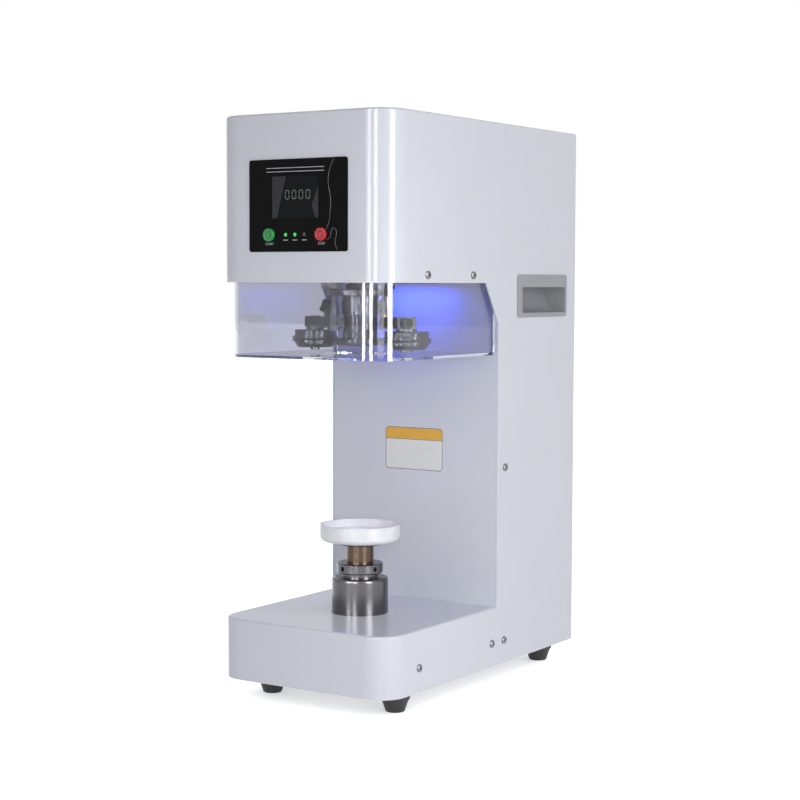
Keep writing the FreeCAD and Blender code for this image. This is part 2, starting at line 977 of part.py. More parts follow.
# ---------------------------------------------------------------- guard
def guard_outline(owner, name, inset):
    sketch = new_sketch(owner, "XY_Plane", name)
    reach = f"half - guard_side_gap - {inset}"
    front = f"front_y + guard_front_gap + {inset}"
    polygon(
        sketch,
        [
            (f"-({reach})", front),
            (reach, front),
            (reach, "panel_y - soft_gap"),
            (f"-({reach})", "panel_y - soft_gap"),
        ],
    )
    return sketch


def make_guard():
    outer = body("guard_outside")
    pad(outer, guard_outline(outer, "guard_plan", "0"), "floor_z - head_under + guard_drop")
    dress(outer, "Fillet", lambda e: is_vertical(e) and front_corner(e), "guard_corner", "guard_corners")
    place(outer, "0", "0", "head_under - guard_drop")
    inner = body("guard_inside")
    sketch = guard_outline(inner, "guard_hollow", "guard_sheet")
    pad(inner, sketch, "floor_z - head_under + guard_drop + 4 * guard_sheet")
    dress(
        inner,
        "Fillet",
        lambda e: is_vertical(e) and front_corner(e),
        "guard_corner - guard_sheet",
        "guard_inner_corners",
    )
    place(inner, "0", "0", "head_under - guard_drop + guard_sheet")
    rear = centred_box(
        "guard_rear_opening",
        "0",
        "panel_y",
        "head_under - guard_drop + guard_sheet",
        "width - 2 * guard_side_gap - 2 * guard_sheet",
        "12 * guard_sheet",
        "2 * guard_drop",
    )
    hole = cylinder(
        "guard_can_hole",
        "0",
        "axis_y",
        "head_under - guard_drop - guard_sheet",
        "guard_hole",
        "3 * guard_sheet",
    )
    return [cut("guard", outer, inner, rear, hole)]


# ---------------------------------------------------------------- recessed handles
def make_handle(side, sign):
    flange = body(f"handle_flange_{side}")
    sketch = new_sketch(flange, "YZ_Plane", f"handle_flange_outline_{side}")
    rectangle(sketch, "0", "0", "handle_length", "handle_height")
    pad(flange, sketch, "handle_sheet", reverse=(side == "left"))
    corner_y = size("handle_length / 2")

    def on_corner(edge):
        start, finish = edge.Vertexes[0].Point, edge.Vertexes[-1].Point
        along = abs(start.x - finish.x) > 1e-6
        return along and abs(abs(start.y) - corner_y) < 1e-4

    dress(flange, "Fillet", on_corner, "handle_corner", f"handle_corners_{side}")
    place(flange, f"{sign} * half", "handle_y", "handle_z")

    def cavity(name, grow, start):
        """Finger pocket: the section across the depth, drawn over the height."""
        owner = body(name)
        section = new_sketch(owner, "XZ_Plane", name + "_section")
        low = f"-pocket_drop - pocket_height / 2 - {grow}"
        high = f"-pocket_drop + pocket_height / 2 + {grow}"
        deep = f"pocket_depth + {grow}"
        lip = "4 * handle_sheet"
        points = [
            (start, low),
            (start, high),
            (f"-({lip}) + {grow}", high),
            (f"-({lip}) + {grow} - pocket_slope / 4", f"{high} + pocket_slope"),
            (f"-({deep})", f"{high} + pocket_slope"),
            (f"-({deep})", low),
        ]
        polygon(section, [(f"{sign} * ({across})", up) for across, up in points])
        pad(owner, section, f"pocket_length + 2 * ({grow})", midplane=True)
        back, floor = size(deep), size(low)

        def on_scoop(edge):
            ends = (edge.Vertexes[0].Point, edge.Vertexes[-1].Point)
            return all(abs(abs(end.x) - back) < 1e-4 and abs(end.z - floor) < 1e-4 for end in ends)

        dress(owner, "Fillet", on_scoop, f"pocket_round + {grow}", f"{name}_scoop")
        place(owner, f"{sign} * half", "handle_y + pocket_shift", "handle_z")
        return owner

    shell = cavity(f"handle_shell_{side}", "pocket_wall", "0")
    hollow = cavity(f"handle_hollow_{side}", "0", "2 * handle_sheet")
    return cut(f"handle_{side}", fuse(f"handle_solid_{side}", flange, shell), hollow)


# ---------------------------------------------------------------- seaming head
def make_head():
    pieces = [
        revolve(
            "chuck",
            [
                ("0", "chuck_bottom + chuck_lip"),
                ("chuck_flange_radius - 3 * chuck_lip", "chuck_bottom + chuck_lip"),
                ("chuck_flange_radius - 2 * chuck_lip", "chuck_bottom"),
                ("chuck_flange_radius - chuck_lip / 2", "chuck_bottom"),
                ("chuck_flange_radius", "chuck_bottom + chuck_lip"),
                ("chuck_flange_radius", "chuck_bottom + chuck_flange_height - edge_break"),
                ("chuck_flange_radius - edge_break", "chuck_bottom + chuck_flange_height"),
                ("chuck_radius", "chuck_bottom + chuck_flange_height"),
                ("chuck_radius", "chuck_top"),
                ("0", "chuck_top"),
            ],
        )
    ]
    pieces.append(
        revolve(
            "chuck_shaft",
            [
                ("0", "chuck_top"),
                ("shaft_radius", "chuck_top"),
                ("shaft_radius", "yoke_bottom + yoke_thickness"),
                ("shaft_radius + yoke_cap_rim", "yoke_bottom + yoke_thickness"),
                ("shaft_radius + yoke_cap_rim", "yoke_bottom + yoke_thickness + yoke_cap"),
                ("0", "yoke_bottom + yoke_thickness + yoke_cap"),
            ],
        )
    )
    pieces.append(
        revolve(
            "spindle_housing",
            [
                ("bearing_radius", "housing_bottom"),
                ("housing_radius", "housing_bottom"),
                ("housing_radius", "plate_top"),
                ("housing_flange_radius", "plate_top"),
                ("housing_flange_radius", "plate_top + housing_flange"),
                ("housing_radius", "plate_top + housing_flange"),
                ("housing_radius", "housing_top"),
                ("bearing_radius", "housing_top"),
                ("bearing_radius", "housing_top - bearing_height"),
                ("spindle_radius + housing_wall", "housing_top - bearing_height"),
                ("spindle_radius + housing_wall", "housing_bottom + bearing_height"),
                ("bearing_radius", "housing_bottom + bearing_height"),
            ],
        )
    )
    bearings = [
        revolve(
            f"{name}_bearing",
            [
                ("spindle_radius + running_gap", bottom),
                ("bearing_radius", bottom),
                ("bearing_radius", f"{bottom} + bearing_height"),
                ("spindle_radius + running_gap", f"{bottom} + bearing_height"),
            ],
        )
        for name, bottom in (("lower", "housing_bottom"), ("upper", "housing_top - bearing_height"))
    ]
    pieces.append(fuse("spindle_bearings", *bearings))
    hub_bottom = "chuck_top + hub_gap"
    pieces.append(
        revolve(
            "turret_spindle",
            [
                ("shaft_radius + running_gap", hub_bottom),
                ("hub_radius", hub_bottom),
                ("hub_radius", "turret_bottom"),
                ("spindle_radius", "turret_bottom"),
                ("spindle_radius", "spindle_top"),
                ("shaft_radius + running_gap", "spindle_top"),
            ],
        )
    )
    pieces.append(
        revolve(
            "turret_disk",
            [
                ("spindle_radius", "turret_bottom"),
                ("turret_radius - edge_break", "turret_bottom"),
                ("turret_radius", "turret_bottom + edge_break"),
                ("turret_radius", "turret_top - edge_break"),
                ("turret_radius - edge_break", "turret_top"),
                ("spindle_radius", "turret_top"),
            ],
        )
    )
    cam_disk = cylinder(
        "cam_disk", "cam_shift_x", "axis_y + cam_shift_y", "turret_top", "cam_radius", "cam_height"
    )
    cam_bore = cylinder(
        "cam_bore", "0", "axis_y", "turret_top - edge_break", "spindle_radius", "cam_height + 2 * edge_break"
    )
    pieces.append(cut("cam_plate", cam_disk, cam_bore))
    pieces.append(make_follower())
    pieces.append(
        revolve(
            "spindle_pulley",
            pulley_profile("spindle_radius", "spindle_pulley_radius", "pulley_bottom", "pulley_height"),
        )
    )
    pieces.append(
        revolve(
            "motor_pulley",
            [
                ("0", "plate_top + motor_height - 2 * motor_nose"),
                ("motor_shaft_radius", "plate_top + motor_height - 2 * motor_nose"),
                ("motor_shaft_radius", "pulley_bottom"),
                *pulley_profile("0", "motor_pulley_radius", "pulley_bottom", "pulley_height")[1:-1],
                ("0", "pulley_bottom + pulley_height"),
            ],
            y="motor_y",
        )
    )
    pieces.append(
        belt(
            "turret_belt",
            "axis_y",
            "spindle_pulley_radius",
            "motor_y",
            "motor_pulley_radius",
            "pulley_bottom",
            "pulley_height",
        )
    )
    barrel = cylinder(
        "motor_barrel", "0", "motor_y", "plate_top", "motor_radius", "motor_height - motor_nose"
    )
    foot = centred_box(
        "motor_foot_block", "0", "motor_y", "plate_top", "2 * motor_radius", "2 * motor_radius", "motor_foot"
    )
    nose = cylinder(
        "motor_nose_boss",
        "0",
        "motor_y",
        "plate_top + motor_height - motor_nose - edge_break",
        "motor_radius / 2",
        "motor_nose + edge_break",
    )
    bore = cylinder(
        "motor_bore",
        "0",
        "motor_y",
        "plate_top + motor_height - 2 * motor_nose - edge_break",
        "motor_shaft_radius + running_gap",
        "4 * motor_nose",
    )
    pieces.append(cut("turret_motor", fuse("motor_solid", barrel, foot, nose), bore))
    return pieces


def make_follower():
    """Ribbed follower wheel that stands on the turret disk."""
    x, y = "-follower_x", "axis_y - follower_y"
    wheel = cylinder("follower_wheel", x, y, "turret_top", "follower_radius", "follower_height")
    grooves = []
    count = 18
    for index in range(count):
        angle = 360.0 * index / count
        grooves.append(
            cylinder(
                f"follower_groove_{index}",
                f"{x} + (follower_radius + follower_groove_shift) * cos({angle})",
                f"{y} + (follower_radius + follower_groove_shift) * sin({angle})",
                "turret_top - edge_break",
                "follower_groove_radius",
                "follower_height + 2 * edge_break",
            )
        )
    clear_cam = cylinder(
        "follower_cam_clearance",
        "cam_shift_x",
        "axis_y + cam_shift_y",
        "turret_top - edge_break",
        "cam_radius + soft_gap",
        "follower_height + 2 * edge_break",
    )
    return cut("cam_follower", wheel, *grooves, clear_cam)


def pulley_profile(bore, radius, bottom, height):
    """Flanged belt pulley; the belt runs between the rims."""
    return [
        (bore, bottom),
        (f"{radius} + pulley_rim", bottom),
        (f"{radius} + pulley_rim", f"{bottom} + pulley_rim"),
        (radius, f"{bottom} + pulley_rim"),
        (radius, f"{bottom} + {height} - pulley_rim"),
        (f"{radius} + pulley_rim", f"{bottom} + {height} - pulley_rim"),
        (f"{radius} + pulley_rim", f"{bottom} + {height}"),
        (bore, f"{bottom} + {height}"),
    ]


def belt(name, first_y, first_radius, second_y, second_radius, bottom, height):
    """Flat belt round two pulleys on the machine's middle plane."""
    near, far = size(first_y), size(second_y)

    def loop(extra):
        small, large = size(second_radius) + extra, size(first_radius) + extra
        lean = math.asin((large - small) / (far - near))
        edges = []
        starts = {}
        for centre, radius in ((near, large), (far, small)):
            rise = radius * math.sin(lean)
            for side in (-1, 1):
                starts[(centre, side)] = V(side * radius * math.cos(lean), centre + rise, 0)
        edges.append(Part.Arc(starts[(near, 1)], V(0, near - large, 0), starts[(near, -1)]).toShape())
        edges.append(Part.LineSegment(starts[(near, -1)], starts[(far, -1)]).toShape())
        edges.append(Part.Arc(starts[(far, -1)], V(0, far + small, 0), starts[(far, 1)]).toShape())
        edges.append(Part.LineSegment(starts[(far, 1)], starts[(near, 1)]).toShape())
        return Part.Face(Part.Wire(edges))

    gap = size("soft_gap")
    tall = size(height) - 2 * size("pulley_rim") - 2 * gap
    ring = loop(gap + size("belt_sheet")).cut(loop(gap)).extrude(V(0, 0, tall))
    obj = doc.addObject("Part::Feature", name)
    obj.Shape = ring
    obj.Placement.Base = V(0, 0, size(bottom) + size("pulley_rim") + gap)
    return obj


# ---------------------------------------------------------------- arms and rollers
def make_post(order, sign, thin):
    """Pivot post that hangs from the turret disk and carries an arm on its pin."""
    washer = "washer_sheet + seat_gap"
    collar = f"arm_top + {washer}"
    neck = "post_thin" if thin else "post_neck"
    neck_radius = "post_thin_radius" if thin else "post_neck_radius"
    sleeve = "post_shoulder_radius" if thin else "post_radius"
    return revolve(
        f"{order}_post",
        [
            ("0", "arm_bottom - seat_gap - pivot_head"),
            ("pivot_head_radius", "arm_bottom - seat_gap - pivot_head"),
            ("pivot_head_radius", "arm_bottom - seat_gap"),
            ("pivot_radius", "arm_bottom - seat_gap"),
            ("pivot_radius", collar),
            (sleeve, collar),
            (sleeve, f"turret_bottom - {neck}"),
            (neck_radius, f"turret_bottom - {neck}"),
            (neck_radius, "turret_bottom"),
            ("0", "turret_bottom"),
        ],
        f"{sign} * pivot_x",
        f"axis_y + {sign} * pivot_y",
    )


def make_washer(order, sign):
    return revolve(
        f"{order}_washer",
        [
            ("pivot_radius + running_gap", "arm_top + seat_gap / 2"),
            ("washer_radius", "arm_top + seat_gap / 2"),
            ("washer_radius", "arm_top + seat_gap / 2 + washer_sheet"),
            ("pivot_radius + running_gap", "arm_top + seat_gap / 2 + washer_sheet"),
        ],
        f"{sign} * pivot_x",
        f"axis_y + {sign} * pivot_y",
    )


def arm_solid(order, end, tail):
    """Arm along +X from its pivot, drawn at height zero, with its bores."""
    boss = cylinder(f"{order}_boss", "0", "0", "0", "arm_boss_radius", "arm_thickness")
    bar = box(
        f"{order}_bar",
        f"-{tail}",
        "-arm_width / 2",
        "0",
        f"arm_length + {tail}",
        "arm_width",
        "arm_thickness",
    )
    bores = [
        cylinder(
            f"{order}_pivot_bore",
            "0",
            "0",
            "-edge_break",
            "pivot_radius + running_gap",
            "arm_thickness + 2 * edge_break",
        ),
        cylinder(
            f"{order}_pin_bore",
            "arm_length",
            "0",
            "-edge_break",
            "roller_pin_radius",
            "arm_thickness + 2 * edge_break",
        ),
    ]
    return [boss, bar, end], bores


def make_arms():
    pieces = []
    round_end = cylinder(
        "first_end", "arm_length + arm_end_shift", "0", "0", "arm_end_radius", "arm_thickness"
    )
    solids, bores = arm_solid("first", round_end, "arm_tail")
    solids[0] = cylinder(
        "first_tail_bolt",
        "-arm_bolt_back",
        "arm_bolt_side",
        "arm_thickness - edge_break",
        "arm_bolt_radius",
        "arm_bolt_head + edge_break",
    )
    reach = "arm_length + arm_end_shift - roller_pin_radius"
    solids.append(box("first_link", "0", "-arm_width / 2", "0", reach, "arm_width", "arm_thickness"))
    bores += [
        cylinder(
            "first_side_hole",
            "arm_hole_reach",
            "0",
            "arm_thickness / 2",
            "arm_hole_radius",
            "arm_width",
            (0, 1, 0),
        ),
        cylinder(
            "first_tail_hole",
            "-arm_width",
            "0",
            "arm_thickness / 2",
            "arm_hole_radius",
            "arm_width",
            (1, 0, 0),
        ),
    ]
    first = cut("first_arm", fuse("first_solid", *solids), *bores)
    first.Placement.Rotation = FreeCAD.Rotation(V(0, 0, 1), 180 - size("arm_angle"))
    place(first, "-pivot_x", "axis_y - pivot_y", "arm_bottom")
    bind(first, Placement__Rotation__Angle="180 - arm_angle")
    block = centred_box("second_block", "0", "0", "0", "arm_end_block", "arm_end_block", "arm_thickness")
    slit = box(
        "second_slit",
        "0",
        "-arm_slit / 2",
        "-edge_break",
        "arm_end_block",
        "arm_slit",
        "arm_thickness + 2 * edge_break",
    )
    square_end = cut("second_end", block, slit)
    square_end.Placement.Rotation = FreeCAD.Rotation(V(0, 0, -1), size("clamp_turn"))
    place(square_end, "arm_length", "0", "0")
    bind(square_end, Placement__Rotation__Angle="clamp_turn")
    solids, bores = arm_solid("second", square_end, "0")
    second = cut("second_arm", fuse("second_solid", *solids), *bores)
    second.Placement.Rotation = FreeCAD.Rotation(V(0, 0, -1), size("arm_angle"))
    place(second, "pivot_x", "axis_y + pivot_y", "arm_bottom")
    bind(second, Placement__Rotation__Angle="arm_angle")
    pieces += [first, second]
    pieces.append(make_clamp_screw())
    pieces.append(make_lever())
    return pieces


def make_clamp_screw():
    """Socket-head screw in the end face of the second arm."""
    owner = body("clamp_screw")
    sketch = new_sketch(owner, "YZ_Plane", "clamp_head_outline")
    circle(sketch, "0", "arm_thickness / 2", "clamp_head_radius")
    pad(owner, sketch, "clamp_head")
    doc.recompute()
    hexagon = new_sketch(owner, "YZ_Plane", "clamp_socket_outline")
    corners = []
    for index in range(6):
        angle = 30 + 60 * index
        across = f"clamp_socket / 2 / cos(30) * cos({angle})"
        up = f"arm_thickness / 2 + clamp_socket / 2 / cos(30) * sin({angle})"
        corners.append((across, up))
    polygon(hexagon, corners)
    floor = V(0, 0, size("clamp_head - clamp_socket_depth"))
    hexagon.AttachmentOffset = FreeCAD.Placement(floor, FreeCAD.Rotation())
    pocket(owner, hexagon, "clamp_socket_depth + edge_break", reverse=True)
    turn = "arm_angle + clamp_turn"
    owner.Placement.Rotation = FreeCAD.Rotation(V(0, 0, -1), size(turn))
    place(
        owner,
        f"roller_reach + arm_end_block / 2 * cos({turn})",
        f"axis_y - arm_end_block / 2 * sin({turn})",
        "arm_bottom",
    )
    bind(owner, Placement__Rotation__Angle=turn)
    return owner


def make_lever():
    """Tilted grooved head with a lower lip, on a stem on top of the first arm."""
    stem = cylinder(
        "lever_stem", "lever_reach", "0", "0", "lever_stem_radius", "lever_rise + lever_height / 2"
    )
    head = revolve(
        "lever_head",
        [
            ("0", "0"),
            ("lever_radius", "0"),
            ("lever_radius", "lever_lip"),
            ("lever_radius - lever_groove", "lever_lip"),
            ("lever_radius - lever_groove", "lever_lip + lever_groove"),
            ("lever_radius - lever_groove / 2", "lever_lip + lever_groove"),
            ("lever_radius - lever_groove / 2", "lever_height - edge_break"),
            ("lever_radius - lever_groove / 2 - edge_break", "lever_height"),
            ("0", "lever_height"),
        ],
        "lever_reach",
        "0",
    )
    head.Placement.Rotation = FreeCAD.Rotation(V(1, 0.3, 0), size("lever_tilt"))
    bind(head, Placement__Rotation__Angle="lever_tilt", Placement__Base__z="lever_rise")
    lever = fuse("cam_lever", stem, head)
    lever.Placement.Rotation = FreeCAD.Rotation(V(0, 0, 1), 180 - size("arm_angle"))
    place(lever, "-pivot_x", "axis_y - pivot_y", "arm_top")
    bind(lever, Placement__Rotation__Angle="180 - arm_angle")
    return lever


def make_rollers():
    pieces = []
    for order, sign in (("first", "-1"), ("second", "1")):
        x = f"{sign} * roller_reach"
        rim_low = "roller_bottom + roller_taper"
        rim_high = f"{rim_low} + roller_rim"
        bore = "roller_pin_radius + running_gap"
        pieces.append(
            revolve(
                f"{order}_roller",
                [
                    (bore, "roller_bottom"),
                    ("roller_taper_radius", "roller_bottom"),
                    ("roller_lower_radius", f"{rim_low} - roller_taper / 3"),
                    ("roller_lower_radius", rim_low),
                    ("roller_rim_radius", rim_low),
                    ("roller_rim_radius", f"{rim_low} + roller_rim / 4"),
                    ("roller_rim_radius - roller_groove", f"{rim_low} + roller_rim / 2"),
                    ("roller_rim_radius", f"{rim_high} - roller_rim / 4"),
                    ("roller_rim_radius", rim_high),
                    ("roller_cap_radius", rim_high),
                    ("roller_cap_radius", "roller_top - edge_break"),
                    ("roller_cap_radius - edge_break", "roller_top"),
                    (bore, "roller_top"),
                ],
                x,
                "axis_y",
            )
        )
        washer_bottom = "roller_top + roller_washer_gap"
        pieces.append(
            revolve(
                f"{order}_roller_pin",
                [
                    ("0", "roller_bottom - roller_washer_gap - nut_height"),
                    ("nut_across / 2", "roller_bottom - roller_washer_gap - nut_height"),
                    ("nut_across / 2", "roller_bottom - roller_washer_gap"),
                    ("roller_pin_radius", "roller_bottom - roller_washer_gap"),
                    ("roller_pin_radius", washer_bottom),
                    ("roller_washer_radius", washer_bottom),
                    ("roller_washer_radius", "arm_bottom"),
                    ("roller_pin_radius", "arm_bottom"),
                    ("roller_pin_radius", "arm_top"),
                    ("pin_head_radius", "arm_top"),
                    ("pin_head_radius", "arm_top + pin_head"),
                    ("0", "arm_top + pin_head"),
                ],
                x,
                "axis_y",
            )
        )
    return pieces


# ---------------------------------------------------------------- lifter
def make_lifter():
    pieces = []
    legs = [
        cylinder(
            f"bridge_leg_{across}_{along}",
            f"{across} * (bridge_width / 2 - 2 * bridge_leg_radius)",
            place_y,
            "bottom_top",
            "bridge_leg_radius",
            "bridge_bottom - bottom_top + edge_break",
        )
        for across in (-1, 1)
        for along, place_y in (
            ("front", "axis_y - lifter_flange_radius + bridge_leg_radius + bridge_margin"),
            ("rear", "lift_motor_y + lift_motor_radius - bridge_margin"),
        )
    ]
    slab = box(
        "bridge_slab",
        "-bridge_width / 2",
        "axis_y - lifter_flange_radius - bridge_margin",
        "bridge_bottom",
        "bridge_width",
        "lift_motor_spacing + lifter_flange_radius + lift_motor_radius + 2 * bridge_margin",
        "bridge_thickness",
    )
    screw_bore = cylinder(
        "bridge_screw_bore",
        "0",
        "axis_y",
        "bridge_bottom - edge_break",
        "screw_radius + running_gap",
        "bridge_thickness + 2 * edge_break",
    )
    motor_bore = cylinder(
        "bridge_motor_bore",
        "0",
        "lift_motor_y",
        "bridge_bottom - edge_break",
        "lift_shaft_radius + lift_shaft_clearance",
        "bridge_thickness + 2 * edge_break",
    )
    pieces.append(cut("drive_bridge", fuse("bridge_solid", slab, *legs), screw_bore, motor_bore))
    base = revolve(
        "lifter_base",
        [
            ("neck_radius + running_gap", "bridge_top"),
            ("lifter_flange_radius", "bridge_top"),
            ("lifter_flange_radius", "bridge_top + lifter_flange"),
            ("lifter_radius", "bridge_top + lifter_flange"),
            ("lifter_radius", "lifter_top"),
            ("gland_radius", "lifter_top"),
            ("gland_radius", "shoulder - soft_gap"),
            ("neck_radius + running_gap", "shoulder - soft_gap"),
        ],
    )
    rim = size("lifter_radius")
    top = size("lifter_top")
    dress(
        base,
        "Fillet",
        lambda e: at_height(e, top) and abs(e.BoundBox.XMax - rim) < 1e-3,
        "lifter_round",
        "lifter_top_edge",
    )
    pieces.append(base)
    bore_top = "screw_top + screw_bore_gap"
    pieces.append(
        revolve(
            "lift_shaft",
            [
                ("screw_radius + running_gap", "shoulder - neck_length"),
                ("neck_radius", "shoulder - neck_length"),
                ("neck_radius", "shoulder"),
                ("rod_radius", "shoulder"),
                ("rod_radius", "tray_bottom - tray_flange"),
                ("0", "tray_bottom - tray_flange"),
                ("0", bore_top),
                ("screw_radius + running_gap", bore_top),
            ],
        )
    )
    collar = revolve(
        "collar_ring",
        [
            ("rod_radius", "shoulder"),
            ("collar_radius - collar_chamfer", "shoulder"),
            ("collar_radius", "shoulder + collar_chamfer"),
            ("collar_radius", "shoulder + collar_height - collar_chamfer"),
            ("collar_radius - collar_chamfer", "shoulder + collar_height"),
            ("rod_radius", "shoulder + collar_height"),
        ],
    )
    holes = []
    for index in range(4):
        angle = 75 + 90 * index
        turned = (math.cos(math.radians(angle)), math.sin(math.radians(angle)), 0)
        holes.append(
            cylinder(
                f"collar_hole_{index}",
                f"(rod_radius + collar_skin) * cos({angle})",
                f"axis_y + (rod_radius + collar_skin) * sin({angle})",
                "shoulder + collar_height / 2",
                "collar_hole",
                "collar_radius",
                turned,
            )
        )
    pieces.append(cut("lock_collar", collar, *holes))
    pieces.append(
        revolve(
            "tray_flange_disk",
            [
                ("0", "tray_bottom - tray_flange"),
                ("tray_flange_radius - edge_break", "tray_bottom - tray_flange"),
                ("tray_flange_radius", "tray_bottom - tray_flange + edge_break"),
                ("tray_flange_radius", "tray_bottom"),
                ("0", "tray_bottom"),
            ],
        )
    )
    tray = revolve(
        "can_tray",
        [
            ("0", "tray_bottom"),
            ("tray_radius", "tray_bottom"),
            ("tray_radius", "tray_bottom + tray_height"),
            ("tray_radius - tray_wall", "tray_bottom + tray_height"),
            ("tray_radius - tray_wall", "tray_bottom + tray_floor"),
            ("tray_seat_radius", "tray_bottom + tray_floor"),
            ("tray_seat_radius", "tray_bottom + tray_floor - tray_seat"),
            ("0", "tray_bottom + tray_floor - tray_seat"),
        ],
    )
    outer = size("tray_radius")
    low = size("tray_bottom")
    dress(
        tray,
        "Fillet",
        lambda e: at_height(e, low) and abs(e.BoundBox.XMax - outer) < 1e-3,
        "tray_round",
        "tray_lower_edge",
    )
    pieces.append(tray)
    pieces.append(
        revolve(
            "lift_screw",
            [
                ("0", "bottom_top + soft_gap"),
                ("screw_radius", "bottom_top + soft_gap"),
                ("screw_radius", "lift_pulley_bottom"),
                *pulley_profile("0", "screw_pulley_radius", "lift_pulley_bottom", "lift_pulley_height")[1:-1],
                ("screw_radius", "lift_pulley_bottom + lift_pulley_height"),
                ("screw_radius", "screw_top - screw_point"),
                ("screw_radius - screw_point", "screw_top"),
                ("0", "screw_top"),
            ],
        )
    )
    pieces.append(
        revolve(
            "lift_motor_pulley",
            [
                ("0", "lift_pulley_bottom"),
                *pulley_profile("0", "drive_pulley_radius", "lift_pulley_bottom", "lift_pulley_height")[1:-1],
                ("lift_shaft_radius", "lift_pulley_bottom + lift_pulley_height"),
                ("lift_shaft_radius", "bridge_top + lift_shaft_reach"),
                ("0", "bridge_top + lift_shaft_reach"),
            ],
            y="lift_motor_y",
        )
    )
    pieces.append(
        belt(
            "lift_belt",
            "axis_y",
            "screw_pulley_radius",
            "lift_motor_y",
            "drive_pulley_radius",
            "lift_pulley_bottom",
            "lift_pulley_height",
        )
    )
    barrel = cylinder(
        "lift_motor_barrel", "0", "lift_motor_y", "bridge_top", "lift_motor_radius", "lift_motor_height"
    )
    bore = cylinder(
        "lift_motor_bore",
        "0",
        "lift_motor_y",
        "bridge_top - edge_break",
        "lift_shaft_radius + running_gap",
        "lift_shaft_reach + 2 * edge_break",
    )
    pieces.append(cut("lift_motor", barrel, bore))
    return pieces


# ---------------------------------------------------------------- power and small parts
def make_power():
    pieces = []
    pieces.append(
        centred_box(
            "power_supply",
            "0",
            "upright_back + supply_depth / 2",
            "supply_bottom",
            "supply_width",
            "supply_depth",
            "supply_height",
        )
    )
    flange = centred_box(
        "inlet_flange_plate",
        "inlet_offset",
        "back_y + inlet_flange / 2",
        "inlet_centre - inlet_height / 2",
        "inlet_width",
        "inlet_flange",
        "inlet_height",
    )
    collar = box(
        "inlet_collar",
        "inlet_offset - inlet_collar_width / 2 + seat_gap",
        "back_y + inlet_proud - inlet_depth",
        "inlet_centre - inlet_collar_height / 2 + seat_gap",
        "inlet_collar_width - 2 * seat_gap",
        "inlet_depth",
        "inlet_collar_height - 2 * seat_gap",
    )
    recess = box(
        "inlet_socket",
        "inlet_offset - inlet_collar_width / 2 + inlet_wall",
        "back_y + inlet_proud - inlet_recess",
        "inlet_centre - inlet_collar_height / 2 + inlet_wall",
        "inlet_collar_width - 2 * inlet_wall",
        "inlet_recess + edge_break",
        "inlet_collar_height - 2 * inlet_wall",
    )
    pins = [
        box(
            f"inlet_pin_{index}",
            f"inlet_offset + {index} * inlet_pin_pitch - inlet_pin / 2",
            "back_y + inlet_proud - inlet_recess - edge_break",
            f"inlet_centre - inlet_pin + ({lift}) * inlet_pin",
            "inlet_pin",
            "inlet_recess - 2 * edge_break",
            "2 * inlet_pin",
        )
        for index, lift in ((-1, -1), (0, 1), (1, -1))
    ]
    socket = cut("inlet_shell", fuse("inlet_solid", flange, collar), recess)
    bezel = centred_box(
        "switch_bezel_plate",
        "switch_offset",
        "back_y + switch_flange / 2",
        "inlet_centre - switch_height / 2",
        "switch_width",
        "switch_flange",
        "switch_height",
    )
    shell = box(
        "switch_shell",
        "switch_offset - switch_width / 2 + switch_margin + seat_gap",
        "back_y - switch_depth",
        "inlet_centre - switch_height / 2 + switch_margin + seat_gap",
        "switch_width - 2 * switch_margin - 2 * seat_gap",
        "switch_depth + switch_flange",
        "switch_height - 2 * switch_margin - 2 * seat_gap",
    )
    well = box(
        "switch_well",
        "switch_offset - rocker_width / 2 - soft_gap",
        "back_y + switch_flange - rocker_well",
        "inlet_centre - rocker_height / 2 - rocker_clearance",
        "rocker_width + 2 * soft_gap",
        "rocker_well + edge_break",
        "rocker_height + 2 * rocker_clearance",
    )
    housing = cut("switch_housing", fuse("switch_solid", bezel, shell), well)
    pieces.append(fuse("power_entry", socket, *pins, housing))
    paddle = body("rocker_paddle")
    sketch = new_sketch(paddle, "YZ_Plane", "rocker_section")
    polygon(
        sketch,
        [
            ("-rocker_thickness", "-rocker_height / 4"),
            ("0", "-rocker_height / 2"),
            ("rocker_thickness / 4", "-rocker_height / 2"),
            ("0", "0"),
            ("rocker_thickness / 2", "rocker_height / 2"),
            ("0", "rocker_height / 2"),
            ("-rocker_thickness", "rocker_height / 4"),
        ],
    )
    pad(paddle, sketch, "rocker_width", midplane=True)
    place(paddle, "switch_offset", "rocker_y", "inlet_centre")
    hub = cylinder(
        "rocker_hub",
        "switch_offset - rocker_width / 2",
        "rocker_y - rocker_thickness / 2",
        "inlet_centre",
        "rocker_hub_radius",
        "rocker_width",
        (1, 0, 0),
    )
    pieces.append(fuse("power_switch", paddle, hub))
    return pieces


def make_feet():
    pieces = []
    for name, x, along in (
        ("front_left", "-1", "front_y + foot_front_setback"),
        ("front_right", "1", "front_y + foot_front_setback"),
        ("rear_left", "-1", "back_y - foot_rear_inset"),
        ("rear_right", "1", "back_y - foot_rear_inset"),
    ):
        pieces.append(
            revolve(
                f"foot_{name}",
                [
                    ("0", "0"),
                    ("foot_bottom_radius - edge_break", "0"),
                    ("foot_bottom_radius", "edge_break"),
                    ("foot_waist_radius", "foot_waist"),
                    ("foot_top_radius", "foot_waist + foot_flare"),
                    ("foot_top_radius", "foot_height"),
                    ("0", "foot_height"),
                ],
                f"{x} * (half - foot_inset)",
                along,
            )
        )
    return pieces


